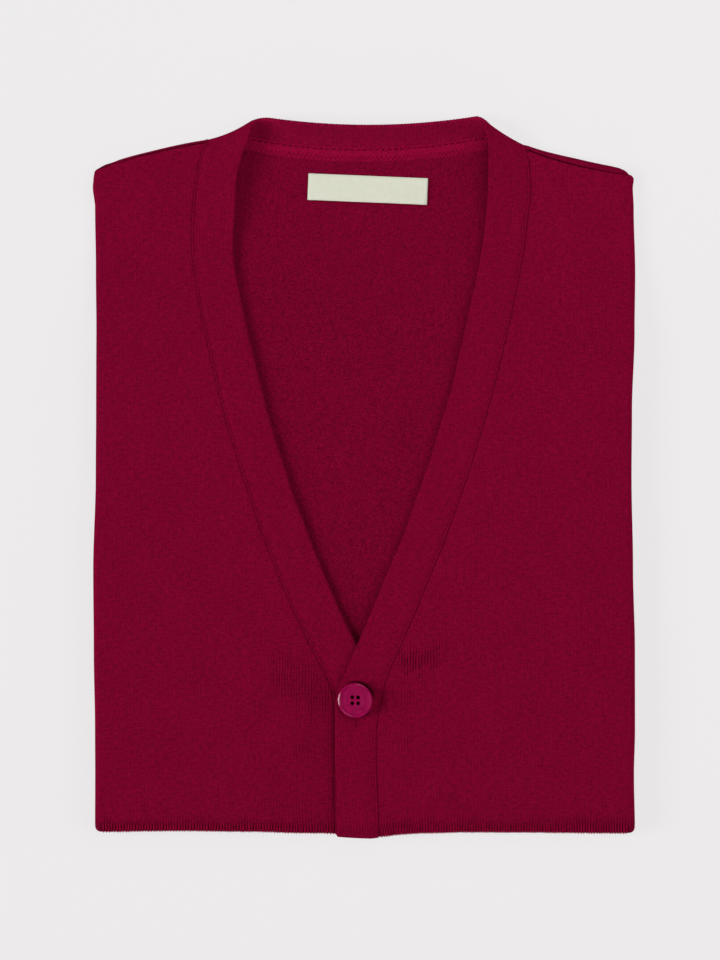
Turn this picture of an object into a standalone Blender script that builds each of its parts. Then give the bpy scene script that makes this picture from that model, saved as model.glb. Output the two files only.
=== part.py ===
"""A fine-knit button-front vest, folded into a rectangle and lying on its back.

The two sides are folded behind, then the lower half is folded up behind, so the bottom edge
is a fold. X runs across, Y towards the neck, Z up; the origin is on the floor under the
middle. Left and right are the wearer's: the left front is on +X and lies over the right one.
Sizes are in millimetres and each mesh is scaled to metres at the end.
"""

import math
from collections import namedtuple

import bmesh
import bpy
from mathutils import Matrix, Vector

MM = 0.001

# Cloth
CLOTH = 1.4          # thickness of the single knit
BAND = 2.6           # thickness of the doubled band
BAND_WIDE = 23.0     # seam to free edge
NECK_BAND = 2.2      # thickness of the band behind the neck
TAPE = 0.7
LABEL_THICK = 0.6
GAP = 0.3            # between pieces that touch
SEAM_HALF_GAP = 0.2  # each side of a seam line

# Heights of the folded pile, from the floor to the outside of a front
PILE_SIDE_UPPER, PILE_SIDE_LOWER = 6.2, 13.0   # neck end, and over the lower half
PILE_MID_UPPER, PILE_MID_LOWER = 5.8, 11.6
MID_HALF, SIDE_FROM = 25.0, 80.0               # the middle of the pile, and where its sides begin
HEM_Y = 73.0                                   # how far up the lower half reaches
DRAPE_TOP, DRAPE_FOOT = 58.0, 140.0            # the upper half comes down past that hem
SINK, SINK_FROM_Y, SINK_FADE = 2.4, -50.0, 34.0    # the under front is pressed down
SINK_LEFT, SINK_RIGHT = 24.0, 12.0                 # and how far that fades to each side
VEE_SAG, SAG_FADE = 0.9, 14.0                  # the back lies lower inside the V
BACK_CLEAR = 0.95                              # air between a band and the back

# Folds
SIDE_ROLL = 3.1          # outer radius of a side fold
SIDE_TUCK = 7.5          # cloth that turns in under a side fold
BOTTOM_TUCK = 3.0        # cloth that turns in under the bottom fold
UNDERSIDE_ROWS = (BOTTOM_TUCK, 30.0, 90.0, 150.0, 210.0)   # how far up the underside
PLACKET_BOTTOM = -200.7
STRAIGHT_FROM = -145.0   # the placket's seams run straight below this
LAYERS_HALF = 135.6      # half width of the hidden layers, inside both side folds
BACK_HALF = 145.4        # half width of the back, which reaches into the side folds
BACK_FOOT = -186.4

# Bands
BAND_PROUD = 0.9         # a band's face over the front beside it
OVER_RISE, OVER_FROM_Y, OVER_FADE = 0.5, -60.0, 25.0      # the over band on the under band
COLLAR_LIFT, COLLAR_FROM_Y, COLLAR_RUN = 6.8, 105.0, 92.0   # free edges rise to the neck
COLLAR_BEND = 1.6        # how late across the band that rise comes
CURL, CURL_WALL = 2.8, 2.0            # radius and thickness where a band turns over the shoulder
CURL_ROUND = 0.9                      # rounding of its edges there
CURL_END_SEAM, CURL_END_EDGE = 1.8, 5.4   # height at which the turned end stops
CURL_BACK = 2.6                       # how far it comes back under, at the free edge

# Shoulders
SHOULDER_FROM = 92.0     # out from here the back turns up behind the fronts
SHOULDER_GAP = 0.74        # air between a front's upper edge and the back's strip
BOW_FADE = 6.0           # a shoulder's bow dies away in this share of the front's length

# Back neck
NECK_FROM, NECK_TO = -62.0, 66.0     # ends of the back neck band
NECK_HALF = 63.0
NECK_MID_Y, NECK_END_Y = 181.8, 187.6        # the seam, in the middle and at its ends
NECK_MID_TOP, NECK_END_TOP = 196.4, 200.4    # the band's top edge
NECK_RISE, NECK_END_RISE = 9.6, 11.0
NECK_TOP_ROUND = 1.3
NECK_TUCK_RIGHT, NECK_TUCK_LEFT = 5.0, 3.0   # its foot runs on under the front bands
NECK_TUCK_SHARE = 0.3
NECK_LEAN_RATE = 1.6                         # how soon up the band it leans back
NECK_LEAN = (0.0, -0.72, 0.69)               # direction of its inner face once it leans
BACK_NECK_INSET = 0.6                        # the back stops short of the neck seam
BACK_CORNER_INSET = 1.6                      # and of the bands' turn beside it
TAPE_WIDE, TAPE_FROM, TAPE_TO = 4.4, -61.0, 63.0

# Label and button
LABEL_SIZE = (66.4, 14.6)
LABEL_AT, LABEL_TURN = (2.1, 160.8), math.radians(-2.4)
BUTTON_AT = (-4.7, -123.8)
BUTTON_RADIUS = 9.8
BUTTON_TILT, BUTTON_NOD = math.radians(8.0), math.radians(3.0)   # right side up, top up
BUTTON_BELLY, BUTTON_BELLY_Z = 8.2, 0.35    # the ring on its back that it rests on
HOLE_WIDE, HOLE_PITCH = 2.3, 3.3

Station = namedtuple("Station", "seam_x seam_y edge_x edge_y")

# Under band, from its turn over the shoulder down to the bottom fold.
UNDER_BAND = [Station(*row) for row in (
    (-87.6, 186.0, -62.6, 196.2),
    (-91.0, 179.0, -64.8, 188.0),
    (-93.2, 170.0, -68.6, 178.6),
    (-95.0, 158.0, -71.6, 165.0),
    (-96.0, 145.0, -72.4, 149.0),
    (-96.2, 131.0, -73.2, 133.0),
    (-95.2, 117.0, -72.3, 120.0),
    (-91.6, 95.5, -68.9, 100.0),
    (-84.5, 62.5, -61.8, 67.7),
    (-76.2, 29.5, -53.9, 35.7),
    (-65.8, -4.2, -44.1, 3.1),
    (-54.3, -37.2, -32.5, -29.0),
    (-42.6, -66.5, -21.2, -57.4),
    (-30.5, -92.5, -9.9, -81.6),
    (-21.2, -110.6, -0.8, -98.4),
    (-17.2, -122.0, 5.4, -113.5),
    (-16.6, -137.0, 7.0, -134.0),
    (-16.6, -163.0, 7.0, -162.0),
    (-16.6, -188.0, 7.0, -188.0),
)]

# Over band, the same way down, which ends as the placket.
OVER_BAND = [Station(*row) for row in (
    (90.2, 182.0, 66.6, 196.8),
    (92.2, 175.0, 68.6, 187.0),
    (92.9, 166.5, 69.4, 175.5),
    (92.9, 156.0, 68.9, 161.5),
    (91.3, 143.5, 67.5, 146.8),
    (88.6, 122.5, 65.0, 126.4),
    (82.9, 94.0, 59.5, 99.3),
    (75.7, 62.8, 52.7, 68.8),
    (67.0, 30.5, 44.6, 37.4),
    (56.5, -3.2, 34.4, 4.3),
    (44.5, -36.5, 23.1, -27.8),
    (32.3, -66.5, 10.8, -57.6),
    (22.0, -90.8, 0.5, -81.7),
    (15.6, -105.0, -5.2, -95.0),
    (11.2, -117.0, -11.4, -110.0),
    (8.7, -129.0, -15.4, -121.5),
    (7.1, -143.0, -16.1, -138.0),
    (7.2, -160.0, -15.9, -159.0),
    (7.9, -179.0, -15.5, -179.0),
    (8.4, -194.2, -15.1, -194.2),
)]

# Side folds: how far out they are, down the pile.
SideRow = namedtuple("SideRow", "y right left")
SIDES = [SideRow(*row) for row in (
    (172.0, 147.6, 146.8),
    (166.0, 149.8, 149.0),
    (158.0, 150.4, 149.6),
    (110.0, 149.3, 150.1),
    (60.0, 149.1, 150.2),
    (0.0, 149.4, 148.6),
    (-40.0, 150.3, 149.1),
    (-85.0, 150.8, 150.2),
    (-110.0, 150.2, 150.7),
    (-150.0, 149.5, 150.0),
    (-200.0, 149.4, 149.8),
)]

# Each half: its band, its shoulder's outer corner, bow and the back's strip seen behind it,
# and its bottom fold.
Half = namedtuple("Half", "side stations fold corner_y bow strip bottom_y")
RIGHT = Half(side=-1, stations=UNDER_BAND, fold="right",
             corner_y=171.0, bow=1.4, strip=1.3, bottom_y=-196.8)
LEFT = Half(side=1, stations=OVER_BAND, fold="left",
            corner_y=168.0, bow=-2.0, strip=3.0, bottom_y=-197.3)


# ---------------------------------------------------------------- small maths

def mix(a, b, t):
    return a + (b - a) * t


def ease(t):
    """Smooth step from 0 to 1."""
    t = min(1.0, max(0.0, t))
    return t * t * (3.0 - 2.0 * t)


def spread(lo, hi, count):
    """Evenly spaced values from lo to hi, in that many steps."""
    return [mix(lo, hi, i / count) for i in range(count + 1)]


def spline(rows, t):
    """Catmull-Rom value of a table's columns at row number t."""
    last = len(rows) - 1
    i = min(last - 1, max(0, int(t)))
    f = t - i
    p0, p1, p2, p3 = rows[max(0, i - 1)], rows[i], rows[i + 1], rows[min(last, i + 2)]
    out = []
    for a, b, c, d in zip(p0, p1, p2, p3):
        m1, m2 = (c - a) / 2.0, (d - b) / 2.0
        out.append((2 * f**3 - 3 * f**2 + 1) * b + (f**3 - 2 * f**2 + f) * m1
                   + (3 * f**2 - 2 * f**3) * c + (f**3 - f**2) * m2)
    return type(rows[0])(*out)


def fold_x(half, y):
    """How far out a half's side fold is at y, eased between the table's rows."""
    if y >= SIDES[0].y:
        return getattr(SIDES[0], half.fold)
    for above, below in zip(SIDES, SIDES[1:]):
        if y >= below.y:
            t = (above.y - y) / (above.y - below.y)
            return mix(getattr(above, half.fold), getattr(below, half.fold), ease(t))
    return getattr(SIDES[-1], half.fold)


def edge_x(rows, y):
    """X of a band's free edge at y."""
    for above, below in zip(rows, rows[1:]):
        if above.edge_y >= y >= below.edge_y:
            return mix(above.edge_x, below.edge_x,
                       (above.edge_y - y) / (above.edge_y - below.edge_y))
    return rows[0].edge_x if y > rows[0].edge_y else rows[-1].edge_x


# ---------------------------------------------------------------- the pile's heights

def pile(x, y):
    """Outside height of the upper half, as the over front lies."""
    lower = ease((DRAPE_FOOT - y) / (DRAPE_FOOT - DRAPE_TOP))
    out = ease((abs(x) - MID_HALF) / (SIDE_FROM - MID_HALF))
    mid_z = mix(PILE_MID_UPPER, PILE_MID_LOWER, lower)
    side_z = mix(PILE_SIDE_UPPER, PILE_SIDE_LOWER, lower)
    return mix(mid_z, side_z, out)


def under_pile(x, y):
    """The same for the under front, pressed down beside and below the placket."""
    down = ease((SINK_FROM_Y - y) / SINK_FADE)
    left, right = UNDER_BAND[-1].seam_x, OVER_BAND[-1].seam_x
    across = ease(1.0 - (left - x) / SINK_LEFT) * ease(1.0 - (x - right) / SINK_RIGHT)
    return pile(x, y) - SINK * down * across


def front_top(half, x, y):
    """Outside height of that half's front."""
    return pile(x, y) if half is LEFT else under_pile(x, y)


def back_top(x, y):
    """Inside face of the back."""
    inside = (ease((x - edge_x(UNDER_BAND, y)) / SAG_FADE)
              * ease((edge_x(OVER_BAND, y) - x) / SAG_FADE))
    return under_pile(x, y) - BAND + BAND_PROUD - BACK_CLEAR - VEE_SAG * inside


def neck_seam_y(x):
    """Y of the seam between the back and its neck band."""
    return mix(NECK_MID_Y, NECK_END_Y, (x / NECK_HALF) ** 2)


# ---------------------------------------------------------------- mesh building

def material(name, colour, roughness):
    """Principled material with the part's colour."""
    made = bpy.data.materials.new(name)
    made.use_nodes = True
    shader = made.node_tree.nodes["Principled BSDF"]
    shader.inputs["Base Color"].default_value = (*colour, 1.0)
    shader.inputs["Roughness"].default_value = roughness
    shader.inputs["Metallic"].default_value = 0.0
    return made


def add_object(name, bm, finish):
    """Closed mesh as an object, in metres, smooth but for its edges."""
    bmesh.ops.recalc_face_normals(bm, faces=bm.faces[:])
    bmesh.ops.scale(bm, vec=(MM, MM, MM), verts=bm.verts[:])
    mesh = bpy.data.meshes.new(name)
    bm.to_mesh(mesh)
    bm.free()
    mesh.shade_smooth()
    mesh.set_sharp_from_angle(angle=math.radians(40.0))
    mesh.materials.append(finish)
    obj = bpy.data.objects.new(name, mesh)
    bpy.context.scene.collection.objects.link(obj)
    return obj


def wall(name, outer, inner, finish, keep=lambda i, j: True):
    """Closed wall between two grids of points, over the cells that keep allows."""
    rows, cols = len(outer), len(outer[0])
    bm = bmesh.new()
    sides = [[[bm.verts.new(p) for p in row] for row in grid] for grid in (outer, inner)]
    kept = {(i, j) for i in range(rows - 1) for j in range(cols - 1) if keep(i, j)}
    for i, j in kept:
        for side in sides:
            a, b, c, d = side[i][j], side[i][j + 1], side[i + 1][j + 1], side[i + 1][j]
            bm.faces.new((a, b, c))
            bm.faces.new((a, c, d))
        borders = (((i - 1, j), (i, j), (i, j + 1)), ((i + 1, j), (i + 1, j + 1), (i + 1, j)),
                   ((i, j - 1), (i + 1, j), (i, j)), ((i, j + 1), (i, j + 1), (i + 1, j + 1)))
        for beside, a, b in borders:
            if beside not in kept:
                bm.faces.new([sides[0][b[0]][b[1]], sides[0][a[0]][a[1]],
                              sides[1][a[0]][a[1]], sides[1][b[0]][b[1]]])
    bmesh.ops.delete(bm, geom=[v for v in bm.verts if not v.link_faces], context="VERTS")
    return add_object(name, bm, finish)


def round_bottom(y, z, top, turn):
    """A point at height z carried round the bottom fold of a pile that is top high."""
    reach = z - top / 2
    return y - reach * math.sin(turn), top / 2 + reach * math.cos(turn)


# ---------------------------------------------------------------- fronts

FLAT_STEPS = (0.0, 0.06, 0.20, 0.36, 0.52, 0.70)    # shares of the way out to the fold
ROLL_STEPS = (64, 36, 8, -20, -52, -90)     # degrees round a side fold
BEND_STEPS = (28, 56, 84, 112, 145, 180)    # degrees round the bottom fold
BAND_ROWS = 32

FrontColumn = namedtuple("FrontColumn", "kind amount")
FRONT_COLUMNS = ([FrontColumn("flat", share) for share in FLAT_STEPS]
                 + [FrontColumn("shelf", SIDE_TUCK), FrontColumn("shelf", 0.0)]
                 + [FrontColumn("roll", math.radians(angle)) for angle in ROLL_STEPS]
                 + [FrontColumn("tuck", SIDE_TUCK)])

# A point of a front: its plan place, where the pile's height is read, and how far it lies
# under that height.
Lie = namedtuple("Lie", "x y over_x drop")


def front(name, half, finish):
    """Wall of one front: over the pile, round its side fold and round the bottom fold."""
    side, stations = half.side, half.stations
    top, foot = stations[0], stations[-1]
    seam_end = half.bottom_y + front_top(half, foot.seam_x, half.bottom_y) / 2
    side_end = half.bottom_y + front_top(half, side * SIDE_FROM, half.bottom_y) / 2

    def lie(column, depth, seam, fold):
        """Where a column lies between the seam and the side fold of one row."""
        centre = fold[0] - side * SIDE_ROLL
        if column.kind == "flat":
            x = mix(seam[0], centre, column.amount)
            return Lie(x, mix(seam[1], fold[1], column.amount), x, depth)
        if column.kind == "shelf":
            x = centre - side * column.amount
            return Lie(x, mix(seam[1], fold[1], (x - seam[0]) / (centre - seam[0])), x, depth)
        if column.kind == "roll":
            reach = SIDE_ROLL - depth
            return Lie(centre + side * reach * math.cos(column.amount), fold[1], centre,
                       SIDE_ROLL - reach * math.sin(column.amount))
        return Lie(centre - side * column.amount, fold[1], centre, 2 * SIDE_ROLL - depth)

    def grid(depth):
        rows = []
        for i in range(BAND_ROWS + 1):
            at = spline(stations, i / BAND_ROWS * (len(stations) - 1))
            down = (top.seam_y - at.seam_y) / (top.seam_y - foot.seam_y)
            seam_y = at.seam_y
            if seam_y < STRAIGHT_FROM:
                low = (STRAIGHT_FROM - seam_y) / (STRAIGHT_FROM - foot.seam_y)
                seam_y = mix(STRAIGHT_FROM, seam_end, low)
            seam = (at.seam_x + side * SEAM_HALF_GAP, seam_y)
            fold_y = mix(half.corner_y, side_end, down)
            fold = (side * fold_x(half, fold_y), fold_y)
            bow = half.bow * (1.0 - ease(down * BOW_FADE))
            last_row = [lie(column, depth, seam, fold) for column in FRONT_COLUMNS]
            row = []
            for column, point in zip(FRONT_COLUMNS, last_row):
                out = (point.x - seam[0]) / (fold[0] - side * SIDE_ROLL - seam[0])
                flat = column.kind in ("flat", "shelf")
                y = point.y + (4 * bow * out * (1 - out) if flat else 0.0)
                row.append((point.x, y, front_top(half, point.over_x, y) - point.drop))
            rows.append(row)
        tops = [front_top(half, point.over_x, point.y) for point in last_row]
        for angle in BEND_STEPS:
            row = []
            for point, high in zip(last_row, tops):
                y, z = round_bottom(point.y, high - point.drop, high, math.radians(angle))
                row.append((point.x, y, z))
            rows.append(row)
        for up in (*UNDERSIDE_ROWS, HEM_Y - side_end):
            rows.append([(point.x + side * (fold_x(half, point.y + up) - abs(fold[0])),
                          point.y + up, point.drop) for point in last_row])
        return rows

    last_full = BAND_ROWS + len(BEND_STEPS) + 1
    strip_from = len(FLAT_STEPS)

    def keep(i, j):
        """All across down to the bottom fold, and a strip along the side under the pile."""
        return i < last_full or j >= strip_from

    return wall(name, grid(0.0), grid(CLOTH), finish, keep)


# ---------------------------------------------------------------- bands

# Across a band: place from seam to free edge, and how the rounded edges fall away.
BandColumn = namedtuple("BandColumn", "across drop")
BAND_SECTION = [BandColumn(*row) for row in (
    (0.0, 1.05), (0.025, 0.45), (0.09, 0.10), (0.35, 0.0), (0.65, 0.0),
    (0.91, 0.10), (0.975, 0.45), (1.0, 1.10),
)]
CURL_STEPS = (90, 60, 30)      # degrees back up the turn over the shoulder
CURL_JOINT = 0.55              # one more row this far down the turned end


def band_place(half, at, column):
    """A point of a band's face, before its edge falls away, at a station."""
    across = mix(SEAM_HALF_GAP / BAND_WIDE, 1.0, column.across)
    x, y = mix(at.seam_x, at.edge_x, across), mix(at.seam_y, at.edge_y, across)
    lift = COLLAR_LIFT * ease((at.edge_y - COLLAR_FROM_Y) / COLLAR_RUN) * across ** COLLAR_BEND
    over = OVER_RISE * ease((OVER_FROM_Y - y) / OVER_FADE) if half is LEFT else 0.0
    return Vector((x, y, front_top(half, x, y) + BAND_PROUD + lift + over))


def band_turn(half, inside):
    """Rows of a band's end that has turned over the shoulder, from its lowest row up."""
    ridge = half.stations[0]
    out = Vector((ridge.seam_y - ridge.edge_y, ridge.edge_x - ridge.seam_x, 0.0)).normalized()
    if out.y < 0:
        out = -out
    columns = []
    for column in BAND_SECTION:
        face = band_place(half, ridge, column)
        fall = min(column.drop, CURL_ROUND)
        reach = CURL - CURL_WALL + fall if inside else CURL - fall
        turned = []
        for angle in CURL_STEPS:
            sine, cosine = math.sin(math.radians(angle)), math.cos(math.radians(angle))
            turned.append(face + out * (reach * sine) + Vector((0, 0, reach * cosine - CURL)))
        end = turned[0] - out * (CURL_BACK * column.across)
        end.z = mix(CURL_END_SEAM, CURL_END_EDGE, column.across)
        columns.append([end, end.lerp(turned[0], CURL_JOINT)] + turned)
    return [list(row) for row in zip(*columns)]


def band(name, half, bottom_y, finish):
    """Wall of a front band, from its turn over the shoulder to its lower end."""
    last = len(half.stations) - 1

    def grid(inside):
        rows = band_turn(half, inside)
        for i in range(BAND_ROWS + 1):
            at = spline(half.stations, i / BAND_ROWS * last)
            faces = [band_place(half, at, column) for column in BAND_SECTION]
            falls = [column.drop - BAND if inside else -column.drop for column in BAND_SECTION]
            rows.append([face + Vector((0, 0, fall)) for face, fall in zip(faces, falls)])
        if bottom_y is None:
            return rows
        for angle in BEND_STEPS:
            row = []
            for face, fall in zip(faces, falls):
                y, z = round_bottom(face.y, face.z + fall, face.z, math.radians(angle))
                row.append(Vector((face.x, y, z)))
            rows.append(row)
        rows.append([point + Vector((0, BOTTOM_TUCK, 0)) for point in rows[-1]])
        return rows

    return wall(name, grid(False), grid(True), finish)


# Back neck band: place from its foot to its top edge, and how much of its rise it has there.
NeckRow = namedtuple("NeckRow", "up rise")
NECK_PROFILE = [NeckRow(*row) for row in (
    (0.0, 0.0), (0.10, 0.01), (0.25, 0.08), (0.45, 0.27), (0.65, 0.52),
    (0.82, 0.76), (0.93, 0.93), (0.975, 0.985),
)]


def neck_band(finish):
    """Back neck band: its foot lies on the back's neck seam and it leans back as it rises."""
    flat, leaning = Vector((0.0, 0.0, 1.0)), Vector(NECK_LEAN)

    def grid(depth):
        rows = []
        for profile in NECK_PROFILE:
            tuck = max(0.0, 1.0 - profile.up / NECK_TUCK_SHARE)
            face = flat.lerp(leaning, ease(profile.up * NECK_LEAN_RATE)).normalized()
            row = []
            for x in spread(NECK_FROM - NECK_TUCK_RIGHT * tuck, NECK_TO + NECK_TUCK_LEFT * tuck, 26):
                out = min(1.0, abs(x) / NECK_HALF) ** 2
                seam = neck_seam_y(x) + GAP
                top_y = mix(NECK_MID_TOP, NECK_END_TOP, out) - NECK_TOP_ROUND
                rise = mix(NECK_RISE, NECK_END_RISE, out) * profile.rise
                point = Vector((x, mix(seam, top_y, profile.up), back_top(x, seam) + rise))
                row.append(point - face * depth)
            rows.append(row)
        return rows

    return wall("band_neck", grid(0.0), grid(NECK_BAND), finish)


# ---------------------------------------------------------------- back and what lies on it

BACK_COLUMNS = (spread(-BACK_HALF, -SHOULDER_FROM, 4) + spread(-90.0, -66.0, 2)
                + spread(-54.0, 58.0, 7) + spread(70.0, 91.6, 2)
                + spread(92.8, BACK_HALF, 4))
LAYER_COLUMNS = ([-LAYERS_HALF] + [x for x in BACK_COLUMNS if abs(x) < LAYERS_HALF]
                 + [LAYERS_HALF])
# Rows of the back and of the layers under it, as shares of their length, closer at the hem.
BACK_ROWS = spread(0.0, 0.62, 9) + spread(0.65, 0.86, 7) + spread(0.90, 1.0, 3)
LAYER_ROWS = BACK_ROWS[:-1] + [0.994, 1.0]
LAYER_ROUND = 0.3          # the layers' top edge is rounded off by this

# The back's strip behind a shoulder: place across it, and how far up it has turned.
StripRow = namedtuple("StripRow", "out up")
STRIP_PROFILE = [StripRow(*row) for row in ((0.05, 0.75), (0.30, 1.0), (0.70, 0.95), (1.0, 0.45))]
STRIP_LEAST = 0.4          # it still ends with this rim along the neck
STRIP_ROUND = 0.5


def front_edge_y(x):
    """Y of the fronts' upper edge on a shoulder."""
    half = LEFT if x > 0 else RIGHT
    start = abs(half.stations[0].seam_x) + SEAM_HALF_GAP
    end = fold_x(half, half.corner_y) - SIDE_ROLL
    u = min(1.0, max(0.0, (abs(x) - start) / (end - start)))
    return mix(half.stations[0].seam_y, half.corner_y, u) + 4 * half.bow * u * (1 - u)


def back_top_y(x):
    """Upper edge of the back: the neck seam, and the fronts' edge on the shoulders."""
    if abs(x) >= SHOULDER_FROM:
        return front_edge_y(x) + SHOULDER_GAP
    if abs(x) <= NECK_HALF:
        return neck_seam_y(x) - BACK_NECK_INSET
    ridge = (LEFT if x > 0 else RIGHT).stations[0]
    out = (abs(x) - NECK_HALF) / (abs(ridge.seam_x) - NECK_HALF)
    return mix(NECK_END_Y - BACK_NECK_INSET, ridge.seam_y - BACK_CORNER_INSET, min(1.0, out))


def back_panel(finish):
    """Back: under the fronts, with a strip that turns up at each shoulder."""

    def grid(depth):
        rows = []
        for share in BACK_ROWS:
            row = []
            for x in BACK_COLUMNS:
                y = mix(BACK_FOOT, back_top_y(x), share)
                row.append((x, y, back_top(x, y) - depth))
            rows.append(row)
        for profile in STRIP_PROFILE:
            row = []
            for x in BACK_COLUMNS:
                strip = (LEFT if x > 0 else RIGHT).strip if abs(x) >= SHOULDER_FROM else 0.0
                y = back_top_y(x) + max(STRIP_LEAST, strip) * profile.out
                low = back_top(x, back_top_y(x))
                if depth:
                    z = low - depth + (STRIP_ROUND if profile.out == 1.0 else 0.0)
                else:
                    z = mix(low, pile(x, y), profile.up) if strip else low
                row.append((x, y, z))
            rows.append(row)
        return rows

    return wall("back_panel", grid(0.0), grid(CLOTH), finish)


# Across the tape, from the neck seam down: place, and share of its thickness.
TapeRow = namedtuple("TapeRow", "down thick")
TAPE_SECTION = [TapeRow(*row) for row in (
    (0.4, 0.35), (0.9, 1.0), (TAPE_WIDE - 0.5, 1.0), (TAPE_WIDE, 0.4),
)]


def neck_tape(finish):
    """Tape that covers the neck seam, on the inside of the back."""

    def grid(thick):
        rows = []
        for section in TAPE_SECTION:
            row = []
            for x in spread(TAPE_FROM, TAPE_TO, 24):
                y = neck_seam_y(x) - section.down
                row.append((x, y, back_top(x, y) + GAP + thick * section.thick))
            rows.append(row)
        return rows

    return wall("neck_tape", grid(TAPE), grid(0.0), finish)


def label(finish):
    """Bare woven label, sewn flat on the back."""
    wide, high = LABEL_SIZE
    turn = Matrix.Rotation(LABEL_TURN, 2)

    def grid(lift):
        rows = []
        for v in spread(-high / 2, high / 2, 3):
            row = []
            for u in spread(-wide / 2, wide / 2, 12):
                x, y = Vector(LABEL_AT) + turn @ Vector((u, v))
                row.append((x, y, back_top(x, y) + GAP + lift))
            rows.append(row)
        return rows

    return wall("label", grid(LABEL_THICK), grid(0.0), finish)


def folded_layers(finish):
    """The layers that the fold hides, as one solid with a flat underside."""

    def grid(top):
        rows = []
        for share in LAYER_ROWS:
            rounding = LAYER_ROUND if share == 1.0 else 0.0
            row = []
            for x in LAYER_COLUMNS:
                y = mix(BACK_FOOT, back_top_y(x), share)
                z = back_top(x, y) - CLOTH - GAP - rounding if top else rounding
                row.append((x, y, z))
            rows.append(row)
        return rows

    return wall("folded_layers", grid(True), grid(False), finish)


# ---------------------------------------------------------------- button

# The turned section of the button, from the middle of its face to the middle of its back.
Ring = namedtuple("Ring", "radius z")
BUTTON_SECTION = [Ring(*row) for row in (
    (0.0, 1.5), (3.2, 1.5), (4.9, 1.75), (5.3, 2.05), (5.9, 2.05), (6.3, 1.75), (7.6, 1.85),
    (8.2, 2.5), (8.9, 2.85), (9.5, 2.6), (BUTTON_RADIUS, 1.9), (9.6, 1.1),
    (BUTTON_BELLY, BUTTON_BELLY_Z), (5.0, 0.0), (0.0, 0.0),
)]
HOLE_DEEP = 12.0
BUTTON_STEPS = 48


def button(finish):
    """Turned button with a raised rim, a ring groove, a dished middle and four holes."""
    bm = bmesh.new()
    points = [bm.verts.new((ring.radius, 0.0, ring.z)) for ring in BUTTON_SECTION]
    edges = [bm.edges.new(pair) for pair in zip(points, points[1:])]
    bmesh.ops.spin(bm, geom=points + edges, cent=(0, 0, 0), axis=(0, 0, 1), steps=BUTTON_STEPS,
                   angle=2 * math.pi, use_merge=True)
    bmesh.ops.remove_doubles(bm, verts=bm.verts[:], dist=0.001)
    base = pile(*BUTTON_AT) + BAND_PROUD + OVER_RISE + GAP
    seat = base + BUTTON_BELLY * math.sin(math.hypot(BUTTON_TILT, BUTTON_NOD)) - BUTTON_BELLY_Z
    place = (Matrix.Translation((*BUTTON_AT, seat)) @ Matrix.Rotation(-BUTTON_TILT, 4, "Y")
             @ Matrix.Rotation(BUTTON_NOD, 4, "X"))
    bmesh.ops.transform(bm, matrix=place, verts=bm.verts[:])
    obj = add_object("button", bm, finish)
    for i, (across, up) in enumerate(((-1, -1), (1, -1), (-1, 1), (1, 1))):
        cutter_bm = bmesh.new()
        bmesh.ops.create_cone(cutter_bm, segments=14, radius1=HOLE_WIDE / 2,
                              radius2=HOLE_WIDE / 2, depth=HOLE_DEEP, cap_ends=True)
        shift = Matrix.Translation((across * HOLE_PITCH / 2, up * HOLE_PITCH / 2, 0.0))
        bmesh.ops.transform(cutter_bm, matrix=place @ shift, verts=cutter_bm.verts[:])
        cutter = add_object(f"hole_cutter_{i}", cutter_bm, finish)
        cutter.hide_render = True
        cutter.display_type = "WIRE"
        cut = obj.modifiers.new(f"hole_{i}", "BOOLEAN")
        cut.operation = "DIFFERENCE"
        cut.object = cutter
    return obj


# ---------------------------------------------------------------- the vest

def build():
    """Build every piece of the folded vest."""
    for old in list(bpy.data.objects):
        bpy.data.objects.remove(old, do_unlink=True)
    jersey = material("jersey", (0.174, 0.002, 0.023), 0.9)
    rib = material("band_knit", (0.190, 0.002, 0.024), 0.9)
    tape = material("seam_tape", (0.22, 0.003, 0.03), 0.9)
    woven = material("woven_label", (0.66, 0.69, 0.56), 0.7)
    gloss = material("button_gloss", (0.245, 0.004, 0.052), 0.25)

    folded_layers(jersey)
    back_panel(jersey)
    front("front_right", RIGHT, jersey)
    front("front_left", LEFT, jersey)
    band("band_right", RIGHT, None, rib)
    band("band_left", LEFT, PLACKET_BOTTOM, rib)
    neck_band(rib)
    neck_tape(tape)
    label(woven)
    button(gloss)


build()
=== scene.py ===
"""Looks of a fine-knit button-front vest, folded into a rectangle and lying on its back.

X runs across, Y towards the neck, Z up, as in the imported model. Left and right are the
wearer's: the left front is on +X and lies over the right one. Sizes in tables and classes are
in millimetres, and every mesh is scaled to metres when it is made.
"""
from __future__ import annotations

import logging
import math
from dataclasses import dataclass, field
from enum import Enum
from typing import NamedTuple, Sequence

import bpy
import numpy as np
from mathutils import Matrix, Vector

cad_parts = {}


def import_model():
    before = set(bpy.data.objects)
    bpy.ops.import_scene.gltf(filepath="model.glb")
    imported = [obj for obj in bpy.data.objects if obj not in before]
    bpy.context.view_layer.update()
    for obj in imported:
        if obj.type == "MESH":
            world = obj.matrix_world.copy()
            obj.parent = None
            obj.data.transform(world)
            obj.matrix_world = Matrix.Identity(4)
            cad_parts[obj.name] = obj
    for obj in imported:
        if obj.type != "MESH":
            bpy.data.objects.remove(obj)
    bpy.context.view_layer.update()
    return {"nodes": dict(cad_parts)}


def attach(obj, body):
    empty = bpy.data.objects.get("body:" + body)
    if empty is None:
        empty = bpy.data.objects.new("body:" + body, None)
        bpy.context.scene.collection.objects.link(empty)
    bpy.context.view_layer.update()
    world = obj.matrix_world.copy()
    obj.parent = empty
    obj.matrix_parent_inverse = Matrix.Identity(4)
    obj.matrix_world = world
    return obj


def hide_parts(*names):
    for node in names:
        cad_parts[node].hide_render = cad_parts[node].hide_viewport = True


Array = np.ndarray
Number = float | Array
Pair, Triple = tuple[float, float], tuple[float, float, float]
Colour = Point = Triple
Bends = Sequence[Pair]     # size and pitch of each slow wave
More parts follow.
